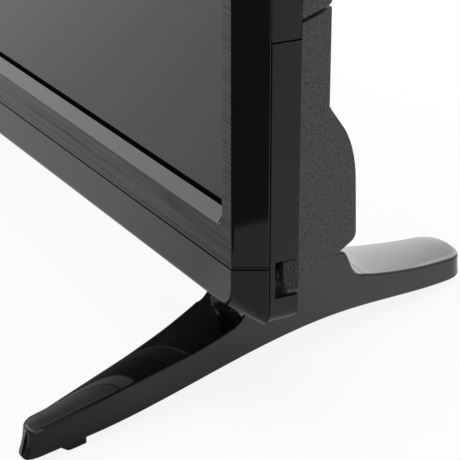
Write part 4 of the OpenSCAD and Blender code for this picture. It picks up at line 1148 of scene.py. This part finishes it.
def make_keys():
    """One key, drawn from its flange out to a dished cap and in to its plunger, then copied up
    the column."""
    low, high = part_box("key_1")
    y_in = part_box("rear_cover_upper")[1].y - cover_wall
    key = block("key_cap_1", (low.x, y_in - key_flange_t, low.z), (high.x, y_in, high.z))
    edit(key)
    pick(key, "faces", lambda f: f.normal.y > 0.99)
    bpy.ops.mesh.inset(thickness=key_flange, depth=0)
    bpy.ops.mesh.extrude_region_move(TRANSFORM_OT_translate={"value": (0, high.y - y_in, 0)})
    bpy.ops.mesh.inset(thickness=key_rim, depth=0)
    bpy.ops.mesh.inset(thickness=key_dish, depth=0)
    bpy.ops.transform.translate(value=(0, -key_dish_deep, 0))
    pick(key, "faces", lambda f: f.normal.y < -0.99)
    bpy.ops.mesh.inset(thickness=key_plunger_in, depth=0)
    bpy.ops.mesh.extrude_region_move(
        TRANSFORM_OT_translate={"value": (0, low.y - y_in + key_flange_t, 0)})
    to_object_mode()
    round_picked(key, key_corner, 4, lambda e: middle(e).y > y_in
                 and abs(e.verts[0].co.y - e.verts[1].co.y) > 1.5 * MM)
    round_edges(key, key_edge, 3, 40)
    keys = [key]
    for count in range(2, 8):
        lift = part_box(f"key_{count}")[0].z - low.z
        keys.append(moved_copy(key, f"key_cap_{count}", (0, 0, lift)))
    for count, made in enumerate(keys, 1):
        finish_piece(made, key_abs, f"key_{count}", [f"key_{count}"])


make_keys()


# Camera at the photograph's viewing angle

def place_camera():
    target = Vector((0.3210, -0.0214, 0.0584))
    distance = 0.5828
    azimuth = math.radians(61)
    elevation = math.radians(22.5)
    back = Vector((math.sin(azimuth) * math.cos(elevation),
                   -math.cos(azimuth) * math.cos(elevation), math.sin(elevation)))
    data = bpy.data.cameras.new("camera")
    data.sensor_width = 36
    data.lens = 140.87
    camera = bpy.data.objects.new("camera", data)
    camera.location = target + back * distance
    camera.rotation_euler = (-back).to_track_quat("-Z", "Y").to_euler()
    bpy.context.scene.collection.objects.link(camera)
    bpy.context.scene.camera = camera


place_camera()


# Floor, studio light and white surround

# Painted reflection shade: how the floor, as gloss mirrors it, is painted darker from the far left
# to the near right of the set
PAINTED_REFLECTION_TONES = (
    (0.0, 1.0), (0.186, 1.0), (0.3, 0.86), (0.414, 0.85), (0.5, 0.69), (0.535, 0.88),
    (0.57, 0.7), (0.6, 0.5), (0.677, 0.37), (0.843, 0.36))


def make_floor():
    """A pale sheet that looks white and keeps a soft shadow; in reflections only it carries painted
    shade that darkens towards the near right, and a painted glow behind the set."""
    select_none()
    bpy.ops.mesh.primitive_plane_add(size=8, location=(0, 0, 0))
    floor = bpy.context.object
    floor.name = "floor"
    material, tree, place = blank("pale_paper_matt_with_painted_reflections")
    path = add(tree, "ShaderNodeLightPath")
    along = add(tree, "ShaderNodeVectorMath", {0: place, 1: (0.742, -0.67, 0)},
                operation="DOT_PRODUCT")
    span = add(tree, RANGE, {
        "Value": along.outputs["Value"], "From Min": -0.1155, "From Max": 0.5845})
    fall = add(tree, RAMP, {"Fac": span.outputs[0]},
               [(spot, grey(value)) for spot, value in PAINTED_REFLECTION_TONES])
    # Past a line near the set's right the mirrored sheet is painted darker still, a painted dark
    # reflection
    across = add(tree, "ShaderNodeVectorMath", {0: place, 1: (0.5, -0.866, 0)},
                 operation="DOT_PRODUCT")
    edge = add(tree, RANGE, {
        "Value": across.outputs["Value"], "From Min": 0.3742, "From Max": 0.3764,
        "To Min": 1.0, "To Max": 0.16})
    painted_reflection_shade = add(tree, "ShaderNodeMixRGB", {0: 1.0, 1: fall.outputs[0], 2: edge.outputs[0]},
                blend_type="MULTIPLY")
    # Glossy rays see the painted reflection shade; the camera and diffuse light see the plain pale
    # paper
    tone = add(tree, "ShaderNodeMixRGB", {
        0: path.outputs["Is Glossy Ray"], 1: linear("#f4f4f2"), 2: painted_reflection_shade.outputs[0]})
    paper = add(tree, "ShaderNodeBsdfDiffuse", {"Color": tone.outputs[0]})
    glow = add(tree, "ShaderNodeEmission", {"Color": grey(1.0), "Strength": 1.0})
    # Behind the set the sheet glows in reflections only, a painted reflection of a lit backdrop
    depth = add(tree, "ShaderNodeSeparateXYZ", {0: place})
    behind = add(tree, RANGE, {
        "Value": depth.outputs["Y"], "From Min": -0.05, "From Max": 0.06,
        "To Min": 0.0, "To Max": 0.8})
    beside = add(tree, RANGE, {
        "Value": depth.outputs["X"], "From Min": 0.41, "From Max": 0.46,
        "To Min": 1.0, "To Max": 0.0})
    close = add(tree, "ShaderNodeMath", {0: beside.outputs[0], 1: behind.outputs[0]},
                operation="MULTIPLY")
    painted_reflection_glow = add(tree, "ShaderNodeMath", {
        0: path.outputs["Is Glossy Ray"], 1: close.outputs[0]}, operation="MULTIPLY")
    # Far from the set the sheet fades to the white of the surround
    far = add(tree, "ShaderNodeVectorMath", {0: place}, operation="LENGTH")
    share = add(tree, RANGE, {
        "Value": far.outputs["Value"], "From Min": 0.8, "From Max": 2.2,
        "To Min": 0.88, "To Max": 1.0})
    seen = add(tree, "ShaderNodeMath", {
        0: path.outputs["Is Camera Ray"], 1: share.outputs[0], 2: painted_reflection_glow.outputs[0]},
        operation="MULTIPLY_ADD")
    mixed = add(tree, "ShaderNodeMixShader", {
        0: seen.outputs[0], 1: paper.outputs[0], 2: glow.outputs[0]})
    add(tree, OUTPUT, {"Surface": mixed.outputs[0]})
    floor.data.materials.append(material)


def make_world():
    """White to the camera; to the set, a dim room that is darker below the horizon."""
    world = bpy.data.worlds.new("studio")
    bpy.context.scene.world = world
    world.use_nodes = True
    tree = world.node_tree
    tree.nodes.clear()
    place = add(tree, "ShaderNodeTexCoord").outputs["Generated"]
    split = add(tree, "ShaderNodeSeparateXYZ", {0: place})
    lift = add(tree, RANGE, {
        "Value": split.outputs["Z"], "From Min": -0.05, "From Max": 0.25,
        "To Min": 0.08, "To Max": 0.35})
    room = add(tree, "ShaderNodeBackground", {"Color": grey(1.0), "Strength": lift.outputs[0]})
    white = add(tree, "ShaderNodeBackground", {"Color": grey(1.0), "Strength": 1.0})
    path = add(tree, "ShaderNodeLightPath")
    mixed = add(tree, "ShaderNodeMixShader", {
        0: path.outputs["Is Camera Ray"], 1: room.outputs[0], 2: white.outputs[0]})
    add(tree, "ShaderNodeOutputWorld", {"Surface": mixed.outputs[0]}, is_active_output=True)


def softbox(name, place, aim, width, height, radiance):
    """A flat lamp of even brightness; its power follows from its area."""
    data = bpy.data.lights.new(name, "AREA")
    data.shape = "RECTANGLE"
    data.size = width
    data.size_y = height
    data.energy = radiance * math.pi * width * height
    lamp = bpy.data.objects.new(name, data)
    lamp.location = place
    lamp.rotation_euler = (Vector(aim) - Vector(place)).to_track_quat("-Z", "Y").to_euler()
    bpy.context.scene.collection.objects.link(lamp)


make_floor()
make_world()
corner = (0.33, -0.03, 0.06)
softbox("key_left_front", (-1.6, -1.0, 1.5), corner, 2.4, 2.2, 1.7)
softbox("back_left", (-1.0, 0.95, 0.5), corner, 2.0, 1.3, 1.7)
softbox("back_top", (0.15, 1.2, 0.95), corner, 2.0, 1.3, 0.7)
softbox("top", (0.0, -0.3, 2.2), (0, -0.3, 0), 2.4, 2.4, 1.6)
softbox("right_fill", (1.8, 0.2, 1.1), corner, 1.8, 1.4, 0.8)

bpy.context.scene.view_settings.view_transform = "Standard"
to_object_mode()
